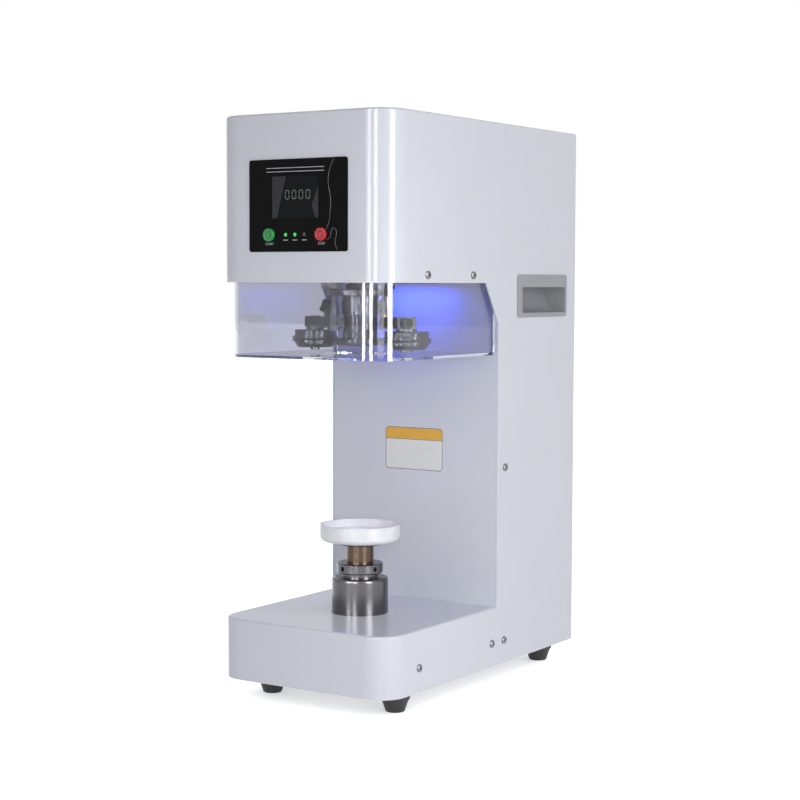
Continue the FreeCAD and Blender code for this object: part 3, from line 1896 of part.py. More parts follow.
def make_screws(side, sign):
    """Pan-head screws that hold the casing to the inner frame."""
    spots = [
        ("front_y + screw_front_setback", "head_under + screw_head_rise"),
        ("column_y - screw_mid_gap", "head_under + screw_head_rise"),
        ("column_y + screw_column_inset", "deck + screw_column_rise"),
        ("front_y + screw_low_front_setback", "under + screw_low_rise"),
        ("column_y - screw_low_rear_gap", "under + screw_low_rise"),
        ("column_y + screw_column_inset", "under + screw_low_rise"),
    ]
    heads = []
    for index, (along, height) in enumerate(spots):
        owner = revolve(
            f"side_screw_{side}_{index}",
            [
                ("0", "0"),
                ("screw_head_radius", "0"),
                ("screw_head_radius", "screw_head / 2"),
                ("screw_head_radius - screw_head / 2", "screw_head"),
                ("0", "screw_head"),
            ],
            f"{sign} * half",
            along,
        )
        owner.Placement.Rotation = FreeCAD.Rotation(V(0, 0, 1), V(int(sign), 0, 0))
        bind(owner, Placement__Base__z=height)
        heads.append(owner)
    return heads


def make_light():
    return centred_box(
        "work_light",
        "0",
        "panel_y - light_gap",
        "floor_z - light_height",
        "light_length",
        "light_width",
        "light_height",
    )


def make_decal():
    return centred_box(
        "decal_plate",
        "decal_offset",
        "panel_y - decal_sheet / 2",
        "decal_centre - decal_height / 2",
        "decal_width",
        "decal_sheet",
        "decal_height",
    )


# ---------------------------------------------------------------- build and write
nodes = [make_casing()]
nodes += make_panels()
nodes.append(make_rear_panel())
nodes += make_frame()
nodes += make_control_panel()
nodes += make_guard()
for side_name, side_sign in (("left", "-1"), ("right", "1")):
    nodes.append(make_handle(side_name, side_sign))
nodes.append(fuse("side_screws", *make_screws("left", "-1"), *make_screws("right", "1")))
nodes += make_head()
for order_name, order_sign, is_thin in (("first", "-1", True), ("second", "1", False)):
    nodes.append(make_post(order_name, order_sign, is_thin))
nodes.append(make_washer("second", "1"))
nodes += make_arms()
nodes += make_rollers()
nodes += make_lifter()
nodes += make_power()
nodes += make_feet()
nodes.append(make_light())
nodes.append(make_decal())
doc.recompute()

for item in doc.Objects:
    if "Invalid" in item.State or "Error" in item.State:
        raise ValueError(f"{item.Name}: {item.State}")
os.makedirs("parts", exist_ok=True)
for node in nodes:
    node.Label = node.Name
    if node.Shape.isNull() or not node.Shape.isValid():
        raise ValueError(node.Label + ": bad shape")
    node.Shape.exportStep(f"parts/{node.Label}.step")
print(len(nodes), "pieces")
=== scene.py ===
"""Looks of a bench-top can seamer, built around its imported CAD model."""

import json
import math

import bmesh
import bpy
from bpy.props import FloatProperty, FloatVectorProperty, IntProperty, PointerProperty, StringProperty
from mathutils import Matrix, Vector


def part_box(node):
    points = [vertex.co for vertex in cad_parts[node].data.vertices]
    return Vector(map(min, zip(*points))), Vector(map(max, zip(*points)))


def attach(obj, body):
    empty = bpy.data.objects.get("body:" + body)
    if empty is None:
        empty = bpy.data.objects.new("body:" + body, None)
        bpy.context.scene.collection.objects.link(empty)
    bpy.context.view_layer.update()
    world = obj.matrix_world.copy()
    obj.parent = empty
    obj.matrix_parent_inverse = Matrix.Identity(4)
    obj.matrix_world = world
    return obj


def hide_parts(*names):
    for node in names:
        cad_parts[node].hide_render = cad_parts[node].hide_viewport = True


bl_info = {
    "name": "Can seamer",
    "version": (1, 0, 0),
    "blender": (4, 5, 0),
    "location": "View3D > Sidebar > Can seamer",
    "description": "Models and finishes a bench-top can seamer around its CAD frame",
    "category": "Object",
}

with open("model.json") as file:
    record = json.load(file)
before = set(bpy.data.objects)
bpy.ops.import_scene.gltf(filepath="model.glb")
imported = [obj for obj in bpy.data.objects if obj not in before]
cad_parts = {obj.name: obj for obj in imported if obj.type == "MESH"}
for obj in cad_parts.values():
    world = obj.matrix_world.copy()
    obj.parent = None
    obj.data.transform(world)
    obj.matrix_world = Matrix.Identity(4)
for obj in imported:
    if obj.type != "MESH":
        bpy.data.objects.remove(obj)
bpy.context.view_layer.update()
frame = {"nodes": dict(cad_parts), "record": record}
NODES = frame["nodes"]


# ---------------------------------------------------------------- settings


def paint(name, text, default):
    """A colour setting, in linear red, green and blue."""
    return FloatVectorProperty(
        name=name, description=text, default=default, subtype="COLOR", size=3, min=0.0, max=1.0
    )


def span(name, text, default):
    """A length setting."""
    return FloatProperty(name=name, description=text, default=default, unit="LENGTH", precision=5)


def share(name, text, default):
    """A setting between nought and one."""
    return FloatProperty(
        name=name, description=text, default=default, min=0.0, max=1.0, subtype="FACTOR"
    )


class SeamerColours(bpy.types.PropertyGroup):
    """Colours of the seamer's finishes."""

    paint: paint("Housing paint", "Powder coat of the housing", (0.73, 0.745, 0.80))
    steel: paint("Bright steel", "Turned and polished steel", (0.105, 0.102, 0.108))
    dark_steel: paint("Dark steel", "Hardened rollers, chuck and arms", (0.055, 0.055, 0.06))
    bronze: paint("Bronze", "Sliding shaft under the tray", (0.085, 0.06, 0.045))
    grey: paint("Handle grey", "Moulded carrying handles", (0.33, 0.34, 0.36))
    start: paint("Start green", "Start key", (0.02, 0.42, 0.08))
    stop: paint("Stop red", "Stop key", (0.70, 0.015, 0.03))
    glow: paint("Work light", "Blue light over the chuck", (0.06, 0.14, 1.0))
    amber: paint("Decal amber", "Band along the top of the decal", (0.80, 0.42, 0.02))


class SeamerSizes(bpy.types.PropertyGroup):
    """Sizes of the modelled details."""

    recess: span("Cross recess", "Width across the cross recess", 0.0040)
    slot: span("Recess arm", "Width of one arm of the cross recess", 0.0011)
    rear_screw: span("Rear screw radius", "Radius of the screws of the rear panel", 0.0033)
    rear_inset: span("Rear screw inset", "Distance of those screws from the panel's edges", 0.009)
    ink: span("Print thickness", "Thickness of the print on the overlay", 0.00006)
    edge: span("Edge round", "Rounding of sharp edges", 0.0004)


class SeamerStudio(bpy.types.PropertyGroup):
    """Camera and lamps."""

    lens: FloatProperty(name="Lens", description="Focal length", default=80.23, unit="CAMERA")
    yaw: FloatProperty(
        name="Yaw", description="Turn of the view about Z", default=math.radians(33.102), subtype="ANGLE"
    )
    pitch: FloatProperty(
        name="Pitch", description="Downward tilt", default=math.radians(3.830), subtype="ANGLE"
    )
    roll: FloatProperty(
        name="Roll", description="Turn about the line of sight", default=math.radians(0.180), subtype="ANGLE"
    )
    eye: FloatVectorProperty(
        name="Eye", description="Camera's place", default=(1.22644, -1.89069, 0.50613), subtype="TRANSLATION"
    )
    ambient: FloatProperty(name="Ambient", description="World light on matt surfaces", default=0.60)
    key: FloatProperty(name="Key", description="Power of the right-hand lamp in watts", default=17.0)
    strip: FloatProperty(name="Strip", description="Brightness of the strip lamps", default=15.0)
    side: FloatProperty(name="Side", description="Power of the lamp near the front in watts", default=2.6)


# ---------------------------------------------------------------- modelling helpers


def clear_selection():
    """Leave edit mode and select nothing."""
    if bpy.context.object and bpy.context.object.mode != "OBJECT":
        bpy.ops.object.mode_set(mode="OBJECT")
    bpy.ops.object.select_all(action="DESELECT")


def hold(piece):
    """Make a piece the only selected and active one."""
    clear_selection()
    piece.select_set(True)
    bpy.context.view_layer.objects.active = piece
    return piece


def settle(piece, name):
    """Name a piece and put its place into its mesh."""
    hold(piece)
    bpy.ops.object.transform_apply(location=True, rotation=True, scale=True)
    piece.name = name
    piece.data.name = name
    return piece


def start_block(name, low, high):
    """Start a piece from a block between two corners."""
    clear_selection()
    low = Vector(low)
    high = Vector(high)
    bpy.ops.mesh.primitive_cube_add(size=1.0, location=(low + high) / 2, scale=high - low)
    return settle(bpy.context.object, name)


def start_round(name, radius, depth, centre, turn=(0.0, 0.0, 0.0), sides=48):
    """Start a piece from a round bar, its axis along Z before it is turned."""
    clear_selection()
    bpy.ops.mesh.primitive_cylinder_add(
        vertices=sides, radius=radius, depth=depth, location=centre, rotation=turn
    )
    return settle(bpy.context.object, name)


def pick(piece, test, kind="FACE"):
    """In edit mode, select the faces, edges or corners that pass a test."""
    bpy.ops.mesh.select_mode(type=kind)
    bpy.ops.mesh.select_all(action="DESELECT")
    shell = bmesh.from_edit_mesh(piece.data)
    pool = {"FACE": shell.faces, "EDGE": shell.edges, "VERT": shell.verts}[kind]
    for item in pool:
        item.select_set(bool(test(item)))
    shell.select_flush_mode()
    bmesh.update_edit_mesh(piece.data)


def edit(piece):
    """Open a piece in edit mode."""
    hold(piece)
    bpy.ops.object.mode_set(mode="EDIT")


def close(piece):
    """Leave edit mode."""
    bpy.ops.object.mode_set(mode="OBJECT")
    return piece


def middle(edge):
    """The middle of an edge."""
    return (edge.verts[0].co + edge.verts[1].co) / 2


def run(edge):
    """The direction of an edge."""
    return (edge.verts[1].co - edge.verts[0].co).normalized()


def modify(piece, kind, **settings):
    """Add a modifier and apply it."""
    hold(piece)
    modifier = piece.modifiers.new(kind.title(), kind)
    for key, value in settings.items():
        setattr(modifier, key, value)
    bpy.ops.object.modifier_apply(modifier=modifier.name)
    return piece


def smooth(piece, angle=35.0):
    """Shade a piece smooth except over sharp edges."""
    hold(piece)
    bpy.ops.object.shade_smooth_by_angle(angle=math.radians(angle))
    return piece


def twin(piece, name, shift=(0.0, 0.0, 0.0)):
    """Copy a piece with its own mesh and move the copy."""
    hold(piece)
    bpy.ops.object.duplicate(linked=False)
    copy = bpy.context.object
    copy.location = Vector(copy.location) + Vector(shift)
    return settle(copy, name)


def merge(pieces, name):
    """Join pieces into one."""
    clear_selection()
    for piece in pieces:
        piece.select_set(True)
    bpy.context.view_layer.objects.active = pieces[0]
    bpy.ops.object.join()
    return settle(bpy.context.object, name)


def centre_of(node):
    """The middle of a CAD node's box."""
    low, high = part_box(node)
    return (low + high) / 2


def body_of(node):
    """The body that a CAD node rides on."""
    bodies = frame["record"]["behaviour"]["bodies"]
    return next(name for name, nodes in bodies.items() if node in nodes)


def cut(piece, cutter):
    """Cut a piece with another, which is used up."""
    modify(piece, "BOOLEAN", operation="DIFFERENCE", solver="EXACT", object=cutter)
    bpy.data.objects.remove(cutter)
    return piece


def rounded_rim(piece, way, radius, steps=4):
    """Round the rim of a round piece on the side that faces one way."""
    corners = [v.co for v in piece.data.vertices]
    top = max(c.dot(way) for c in corners)
    edit(piece)
    pick(piece, lambda e: min(v.co.dot(way) for v in e.verts) > top - 1e-6, "EDGE")
    bpy.ops.mesh.bevel(offset=radius, segments=steps)
    return close(piece)


def pan_head(name, seat, way, radius, height, sizes):
    """A pan-head screw with a cross recess that stands on its seat and faces one way."""
    way = Vector(way)
    turn = way.to_track_quat("Z", "Y").to_euler()
    head = start_round(name, radius, height, Vector(seat) + way * height / 2, turn, 40)
    rounded_rim(head, way, height * 0.55)
    deep = height * 0.6
    for angle in (0.0, math.pi / 2):
        clear_selection()
        bpy.ops.mesh.primitive_cube_add(
            size=1.0,
            location=Vector(seat) + way * (height - deep / 2 + 0.0001),
            rotation=(way.to_track_quat("Z", "Y") @ Matrix.Rotation(angle, 3, "Z").to_quaternion()).to_euler(),
            scale=(sizes.recess, sizes.slot, deep + 0.0002),
        )
        cut(head, settle(bpy.context.object, name + "_recess"))
    return smooth(head)


def grub_screw(name, face, way, radius, length):
    """A set screw with a hexagon socket; its face looks one way."""
    way = Vector(way)
    turn = way.to_track_quat("Z", "Y").to_euler()
    stem = start_round(name, radius, length, Vector(face) - way * length / 2, turn, 32)
    rounded_rim(stem, way, radius * 0.14, 2)
    key = start_round(name + "_socket", radius * 0.52, length, face, turn, 6)
    return smooth(cut(stem, key))


def slab(name, low, high, round_by, steps=3):
    """A thin plate in the XZ plane with rounded corners."""
    piece = start_block(name, low, high)
    edit(piece)
    pick(piece, lambda e: abs(run(e).y) > 0.99, "EDGE")
    bpy.ops.mesh.bevel(offset=round_by, segments=steps)
    return close(piece)


def word(name, text, spot, size, depth):
    """A short generic word, made a mesh, that reads from the front."""
    clear_selection()
    bpy.ops.object.text_add(location=spot, rotation=(math.radians(90), 0.0, 0.0))
    piece = bpy.context.object
    piece.data.body = text
    piece.data.size = size
    piece.data.extrude = depth / 2
    piece.data.align_x = "CENTER"
    piece.data.align_y = "CENTER"
    bpy.ops.object.convert(target="MESH")
    return settle(bpy.context.object, name)


def dress(piece, finish, body):
    """Give a finished piece its material and its body."""
    piece.data.materials.clear()
    piece.data.materials.append(finish)
    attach(piece, body)
    return piece


def shells(node):
    """The boxes of a CAD node's separate solids, as (low, high) pairs."""
    copy = NODES[node].data.copy()
    mesh = bmesh.new()
    mesh.from_mesh(copy)
    bmesh.ops.remove_doubles(mesh, verts=mesh.verts, dist=1e-6)
    seen = set()
    boxes = []
    for first in mesh.verts:
        if first in seen:
            continue
        seen.add(first)
        queue = [first]
        group = []
        while queue:
            corner = queue.pop()
            group.append(corner.co.copy())
            for edge in corner.link_edges:
                other = edge.other_vert(corner)
                if other not in seen:
                    seen.add(other)
                    queue.append(other)
        low = Vector([min(c[i] for c in group) for i in range(3)])
        high = Vector([max(c[i] for c in group) for i in range(3)])
        boxes.append((low, high))
    mesh.free()
    bpy.data.meshes.remove(copy)
    return boxes


# ---------------------------------------------------------------- finishes


class Finish:
    """A node material being put together."""

    def __init__(self, name, colour, rough, metal=0.0, **sockets):
        self.material = bpy.data.materials.new(name)
        self.material.use_nodes = True
        self.tree = self.material.node_tree
        self.shader = self.tree.nodes["Principled BSDF"]
        self.shader.inputs["Base Color"].default_value = (*colour, 1.0)
        self.shader.inputs["Roughness"].default_value = rough
        self.shader.inputs["Metallic"].default_value = metal
        for key, value in sockets.items():
            self.shader.inputs[key.replace("_", " ")].default_value = value
        self.colour = colour
        self.rough = rough
        self.spot = None

    def node(self, kind, **settings):
        """Add a node."""
        made = self.tree.nodes.new("ShaderNode" + kind)
        for key, value in settings.items():
            setattr(made, key, value)
        return made

    def link(self, start, end):
        """Join two sockets."""
        self.tree.links.new(start, end)

    def place(self, shift=(0.0, 0.0, 0.0), scale=(1.0, 1.0, 1.0)):
        """Coordinates on the object, in metres."""
        if self.spot is None:
            self.spot = self.node("TexCoord").outputs["Object"]
        mapping = self.node("Mapping")
        mapping.inputs["Location"].default_value = [-a * b for a, b in zip(shift, scale)]
        mapping.inputs["Scale"].default_value = scale
        self.link(self.spot, mapping.inputs["Vector"])
        return mapping.outputs["Vector"]

    def cloud(self, scale, detail=2.0, rough=0.5, at=None):
        """Soft noise between nought and one."""
        noise = self.node("TexNoise")
        noise.inputs["Scale"].default_value = scale
        noise.inputs["Detail"].default_value = detail
        noise.inputs["Roughness"].default_value = rough
        self.link(at or self.place(), noise.inputs["Vector"])
        return noise.outputs["Fac"]

    def rings(self, centre, along=9000.0, across=4000.0):
        """Lathe rings round an upright axis."""
        spot = self.place(centre)
        parts = self.node("SeparateXYZ")
        self.link(spot, parts.inputs["Vector"])
        flat = self.node("CombineXYZ")
        self.link(parts.outputs["X"], flat.inputs["X"])
        self.link(parts.outputs["Y"], flat.inputs["Y"])
        reach = self.node("VectorMath", operation="LENGTH")
        self.link(flat.outputs["Vector"], reach.inputs[0])
        joined = self.node("CombineXYZ")
        self.link(reach.outputs["Value"], joined.inputs["X"])
        self.link(parts.outputs["Z"], joined.inputs["Z"])
        sized = self.node("VectorMath", operation="MULTIPLY")
        sized.inputs[1].default_value = (across, 1.0, along)
        self.link(joined.outputs["Vector"], sized.inputs[0])
        noise = self.node("TexNoise")
        noise.inputs["Scale"].default_value = 1.0
        noise.inputs["Detail"].default_value = 1.5
        self.link(sized.outputs["Vector"], noise.inputs["Vector"])
        return noise.outputs["Fac"]

    def ease(self, source, low, high, start=0.3, end=0.7):
        """Stretch a value onto a new range."""
        remap = self.node("MapRange")
        remap.inputs["From Min"].default_value = start
        remap.inputs["From Max"].default_value = end
        remap.inputs["To Min"].default_value = low
        remap.inputs["To Max"].default_value = high
        self.link(source, remap.inputs["Value"])
        return remap.outputs["Result"]

    def blend(self, source, first, second):
        """Mix two colours, each given as a colour or as a socket."""
        mix = self.node("Mix", data_type="RGBA")
        sockets = [i for i in mix.inputs if i.type == "RGBA"]
        for socket, colour in zip(sockets, (first, second)):
            if isinstance(colour, bpy.types.NodeSocket):
                self.link(colour, socket)
            else:
                socket.default_value = (*colour, 1.0)
        self.link(source, mix.inputs["Factor"])
        return next(o for o in mix.outputs if o.type == "RGBA")

    def past(self, start, aim, soft=0.0002):
        """One past a plane through a point, nought before it."""
        dot = self.node("VectorMath", operation="DOT_PRODUCT")
        dot.inputs[1].default_value = Vector(aim).normalized()
        self.link(self.place(start), dot.inputs[0])
        return self.ease(dot.outputs["Value"], 0.0, 1.0, -soft, soft)

    def figure(self, operation, first, second):
        """Work out a value from two."""
        sum_node = self.node("Math", operation=operation)
        for socket, value in zip(sum_node.inputs, (first, second)):
            if isinstance(value, float):
                socket.default_value = value
            else:
                self.link(value, socket)
        return sum_node.outputs["Value"]

    def vary(self, source, by, start=0.3, end=0.7):
        """Let the base colour drift a little lighter and darker."""
        pale = [min(1.0, c * (1 + by)) for c in self.colour]
        deep = [c * (1 - by) for c in self.colour]
        factor = self.ease(source, 0.0, 1.0, start, end)
        self.link(self.blend(factor, deep, pale), self.shader.inputs["Base Color"])

    def dull(self, source, by, start=0.3, end=0.7):
        """Let the roughness drift."""
        value = self.ease(source, self.rough - by, self.rough + by, start, end)
        self.link(value, self.shader.inputs["Roughness"])

    def relief(self, source, depth, strength=1.0):
        """Raise the surface by a value, depth in metres."""
        bump = self.node("Bump")
        bump.inputs["Strength"].default_value = strength
        bump.inputs["Distance"].default_value = depth
        self.link(source, bump.inputs["Height"])
        self.link(bump.outputs["Normal"], self.shader.inputs["Normal"])


def powder_coat(colour):
    """Smooth pale powder coat with a faint orange peel."""
    f = Finish("painted_white", colour, 0.2, Specular_IOR_Level=0.24)
    f.vary(f.cloud(14.0, 3.0), 0.012)
    f.dull(f.cloud(90.0, 2.0), 0.03)
    f.relief(f.cloud(420.0, 1.0), 0.000025, 0.4)
    return f.material


def turned(name, colour, rough, centre, along=9000.0):
    """Steel turned on a lathe about an upright axis."""
    f = Finish(name, colour, rough, 1.0)
    rings = f.rings(centre, along)
    f.vary(rings, 0.10)
    f.dull(f.cloud(160.0, 3.0), 0.05)
    f.relief(rings, 0.00003, 1.0)
    return f.material


def ground(name, colour, rough, scale=350.0, metal=1.0):
    """Steel or alloy with a fine ground or blasted surface."""
    f = Finish(name, colour, rough, metal)
    grain = f.cloud(scale, 4.0, 0.6)
    f.vary(grain, 0.14)
    f.dull(grain, 0.06)
    f.relief(grain, 0.00003, 0.35)
    return f.material


def zinc_sheet(name, colour):
    """Galvanised sheet with large soft spangles."""
    f = Finish(name, colour, 0.38, 0.9)
    cells = f.node("TexVoronoi")
    cells.inputs["Scale"].default_value = 110.0
    f.link(f.place(), cells.inputs["Vector"])
    f.vary(cells.outputs["Distance"], 0.16, 0.0, 0.7)
    f.dull(cells.outputs["Distance"], 0.08, 0.0, 0.7)
    return f.material


def moulded(name, colour, rough, scale=900.0, depth=0.00004, **sockets):
    """Moulded plastic or rubber with a fine spark texture."""
    f = Finish(name, colour, rough, **sockets)
    grain = f.cloud(scale, 2.0)
    f.vary(f.cloud(40.0, 2.0), 0.05)
    f.dull(grain, 0.05)
    f.relief(grain, depth, 0.5)
    return f.material


def gloss_film(name, colour):
    """Glossy printed overlay with faint handling marks."""
    f = Finish(name, colour, 0.1, Specular_IOR_Level=0.08)
    f.vary(f.cloud(60.0, 3.0), 0.25)
    f.dull(f.cloud(35.0, 4.0, 0.65), 0.03)
    f.relief(f.cloud(55.0, 1.0), 0.00006, 0.25)
    return f.material


def smoked_window(name, colour, low, high):
    """Dark window with a painted reflection: a lighter band along its left side and at its lower right."""
    f = Finish(name, colour, 0.12, Specular_IOR_Level=0.1)
    wide = high.x - low.x
    tall = high.z - low.z
    # Painted reflection: these masks lighten the window along its left side and at its lower right, where a
    # lamp's reflection lies.
    left = f.past((low.x + 0.20 * wide, 0.0, low.z + 0.5 * tall), (-tall, 0.0, 0.2 * wide))
    upper = f.past((low.x + 0.86 * wide, 0.0, low.z + 0.30 * tall), (1.0, 0.0, -0.42))
    lower = f.past((low.x + 0.86 * wide, 0.0, low.z + 0.30 * tall), (1.0, 0.0, 0.36))
    right = f.figure("MINIMUM", upper, lower)
    painted_reflection_mask = f.figure("MAXIMUM", left, right)
    shade = f.figure("MULTIPLY", painted_reflection_mask, f.ease(f.cloud(90.0, 3.0), 0.75, 1.0))
    f.link(f.blend(shade, colour, (0.05, 0.05, 0.055)), f.shader.inputs["Base Color"])
    f.dull(f.cloud(35.0, 3.0), 0.03)
    return f.material


def faint_ink(name, colour, glow=0.0):
    """Screen-printed ink, slightly uneven, or a faint lit segment."""
    f = Finish(name, colour, 0.5, Emission_Strength=glow)
    f.shader.inputs["Emission Color"].default_value = (*colour, 1.0)
    f.vary(f.cloud(1500.0, 2.0), 0.15)
    f.dull(f.cloud(900.0, 2.0), 0.08)
    return f.material


def clear_sheet(name, colour):
    """Clear guard plastic that lets the lamps through."""
    f = Finish(name, colour, 0.015, IOR=1.49, Transmission_Weight=1.0)
    f.dull(f.cloud(25.0, 3.0), 0.012)
    path = f.node("LightPath")
    through = f.node("BsdfTransparent")
    through.inputs["Color"].default_value = (*colour, 1.0)
    mix = f.node("MixShader")
    either = f.node("Math", operation="MAXIMUM")
    f.link(path.outputs["Is Shadow Ray"], either.inputs[0])
    f.link(path.outputs["Is Diffuse Ray"], either.inputs[1])
    f.link(either.outputs["Value"], mix.inputs["Fac"])
    f.link(f.shader.outputs["BSDF"], mix.inputs[1])
    f.link(through.outputs["BSDF"], mix.inputs[2])
    out = f.tree.nodes["Material Output"]
    f.link(mix.outputs["Shader"], out.inputs["Surface"])
    return f.material


def glowing(name, colour, strength, body=(0.02, 0.02, 0.02)):
    """A lit lens, brightest in its cells."""
    f = Finish(name, body, 0.3, Emission_Strength=strength)
    cells = f.cloud(300.0, 1.0)
    deep = [c * 0.8 for c in colour]
    f.link(f.blend(f.ease(cells, 0.0, 1.0), deep, colour), f.shader.inputs["Emission Color"])
    f.vary(cells, 0.1)
    return f.material


def lamp_lens(name, colour, dim_from):
    """Green lenses, of which the ones past a place along X are unlit."""
    f = Finish(name, [c * 0.4 for c in colour], 0.3)
    lit = f.past((dim_from, 0.0, 0.0), (-1.0, 0.0, 0.0))
    power = f.figure("MULTIPLY", f.ease(f.cloud(700.0, 1.0), 0.22, 0.5), lit)
    f.link(power, f.shader.inputs["Emission Strength"])
    f.shader.inputs["Emission Color"].default_value = (*colour, 1.0)
    f.link(f.blend(lit, (0.01, 0.04, 0.02), colour), f.shader.inputs["Base Color"])
    return f.material


def key_cap(name, colour, centre, radius):
    """A key with a bright rim and raised ring, and painted shade darkening its sunken ring and dished middle."""
    f = Finish(name, colour, 0.28, IOR=1.5)
    spot = f.place(centre)
    flat = f.node("VectorMath", operation="MULTIPLY")
    flat.inputs[1].default_value = (1.0, 0.0, 1.0)
    f.link(spot, flat.inputs[0])
    reach = f.node("VectorMath", operation="LENGTH")
    f.link(flat.outputs["Vector"], reach.inputs[0])
    outer = f.ease(reach.outputs["Value"], 0.0, 1.0, radius * 0.60, radius * 0.66)
    start = f.ease(reach.outputs["Value"], 0.0, 1.0, radius * 0.14, radius * 0.20)
    end = f.ease(reach.outputs["Value"], 0.0, 1.0, radius * 0.32, radius * 0.38)
    ring = f.figure("MAXIMUM", outer, f.figure("SUBTRACT", start, end))
    # Painted shade: the sunken ring and the dished middle get 35 per cent of the key's colour.
    f.link(f.blend(ring, [c * 0.35 for c in colour], colour), f.shader.inputs["Base Color"])
    f.dull(f.cloud(500.0, 2.0), 0.05)
    return f.material


def decal_print(name, field, band, low, high):
    """A pale decal with a plain coloured band along its top."""
    f = Finish(name, field, 0.3, IOR=1.5)
    spot = f.place()
    parts = f.node("SeparateXYZ")
    f.link(spot, parts.inputs["Vector"])
    top = low.z + (high.z - low.z) * 0.72
    step = f.ease(parts.outputs["Z"], 0.0, 1.0, top - 0.0001, top + 0.0001)
    round_by = 0.005
    inner = (high - low) / 2 - Vector((round_by, 0.0, round_by))
    size = f.node("VectorMath", operation="ABSOLUTE")
    f.link(f.place((low + high) / 2), size.inputs[0])
    over = f.node("VectorMath", operation="SUBTRACT")
    over.inputs[1].default_value = (inner.x, 1.0, inner.z)
    f.link(size.outputs["Vector"], over.inputs[0])
    clip = f.node("VectorMath", operation="MAXIMUM")
    f.link(over.outputs["Vector"], clip.inputs[0])
    reach = f.node("VectorMath", operation="LENGTH")
    f.link(clip.outputs["Vector"], reach.inputs[0])
    line = f.ease(reach.outputs["Value"], 0.0, 1.0, round_by - 0.0013, round_by - 0.0011)
    margin = f.ease(reach.outputs["Value"], 0.0, 1.0, round_by - 0.0004, round_by - 0.0002)
    rule_low = f.ease(parts.outputs["Z"], 0.0, 1.0, top - 0.0008, top - 0.0006)
    rule = f.figure("SUBTRACT", rule_low, step)
    ink = (0.10, 0.11, 0.20)
    drawn = f.blend(f.figure("MAXIMUM", line, rule), f.blend(step, field, band), ink)
    f.link(f.blend(margin, drawn, field), f.shader.inputs["Base Color"])
    f.dull(f.cloud(200.0, 2.0), 0.04)
    return f.material


AXIS = centre_of("turret_disk")
LEFT_ROLLER = centre_of("first_roller")
RIGHT_ROLLER = centre_of("second_roller")


def make_finishes(colours):
    """All materials by slot name."""
    start_low, start_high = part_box("start_button")
    stop_low, stop_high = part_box("stop_button")
    decal_low, decal_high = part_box("decal_plate")
    radius = (start_high.x - start_low.x) / 2
    steel = tuple(colours.steel)
    dark = tuple(colours.dark_steel)
    return {
        "painted_white": powder_coat(tuple(colours.paint)),
        "zinc_sheet": zinc_sheet("zinc_sheet", (0.55, 0.57, 0.59)),
        "black_gloss": gloss_film("black_gloss", (0.002, 0.002, 0.0025)),
        "screen": smoked_window("screen", (0.004, 0.005, 0.006), *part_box("display_window")),
        "green_button": key_cap(
            "green_button", tuple(colours.start), (start_low + start_high) / 2, radius
        ),
        "red_button": key_cap("red_button", tuple(colours.stop), (stop_low + stop_high) / 2, radius),
        "indicator": lamp_lens("indicator", (0.04, 0.62, 0.09), centre_of("indicator_lights").x + 0.007),
        "circuit_board": ground("circuit_board", (0.02, 0.16, 0.07), 0.4, 500.0, 0.0),
        "clear_guard": clear_sheet("clear_guard", (0.61, 0.615, 0.675)),
        "grey_plastic": moulded("grey_plastic", tuple(colours.grey), 0.42),
        "steel_screws": ground("steel_screws", (0.20, 0.20, 0.21), 0.28, 900.0),
        "polished_steel": turned("polished_steel", steel, 0.2, AXIS),
        "dark_steel": turned("dark_steel", dark, 0.16, AXIS),
        "black_steel": ground("black_steel", (0.02, 0.02, 0.022), 0.3, 700.0),
        "bronze_steel": turned("bronze_steel", tuple(colours.bronze), 0.24, AXIS),
        "brass": turned("brass", (0.62, 0.43, 0.18), 0.22, AXIS),
        "cast_housing": ground("cast_housing", (0.25, 0.26, 0.28), 0.5, 220.0),
        "bearing_steel": turned("bearing_steel", (0.5, 0.5, 0.52), 0.2, AXIS),
        "pulley_alloy": turned("pulley_alloy", (0.6, 0.61, 0.62), 0.3, AXIS),
        "belt_rubber": moulded("belt_rubber", (0.02, 0.02, 0.02), 0.6),
        "white_plastic": moulded("white_plastic", (0.84, 0.84, 0.86), 0.33, 600.0, 0.00002),
        "supply_metal": ground("supply_metal", (0.5, 0.51, 0.52), 0.42, 120.0),
        "black_plastic": moulded("black_plastic", (0.016, 0.016, 0.017), 0.4),
        "foot_rubber": moulded("foot_rubber", (0.012, 0.012, 0.013), 0.5),
        "blue_light": glowing("blue_light", tuple(colours.glow), 0.4),
        "decal": decal_print("decal", (0.80, 0.80, 0.78), tuple(colours.amber), decal_low, decal_high),
        "panel_ink": faint_ink("panel_ink", (0.33, 0.33, 0.35)),
        "segment": faint_ink("segment", (0.008, 0.05, 0.018), 0.02),
        "film_crease": faint_ink("film_crease", (0.13, 0.13, 0.15)),
        "left_steel": turned("left_steel", steel, 0.2, LEFT_ROLLER),
        "left_dark": turned("left_dark", dark, 0.16, LEFT_ROLLER),
        "right_steel": turned("right_steel", steel, 0.2, RIGHT_ROLLER),
        "right_dark": turned("right_dark", dark, 0.16, RIGHT_ROLLER),
    }


FINISHES = {}

OWN_FINISH = {
    "first_roller": "left_dark",
    "first_roller_pin": "left_steel",
    "second_roller": "right_dark",
    "second_roller_pin": "right_steel",
}


# ---------------------------------------------------------------- operators


class SEAMER_OT_finishes(bpy.types.Operator):
    """Give every CAD node its node material"""

    bl_idname = "seamer.finishes"
    bl_label = "Finish the CAD nodes"

    def execute(self, context):
        made = make_finishes(context.scene.seamer_colours)
        FINISHES.update(made)
        for name, node in NODES.items():
            for slot in node.material_slots:
                key = OWN_FINISH.get(name, slot.material.name.split(".")[0])
                slot.material = made[key]
        return {"FINISHED"}


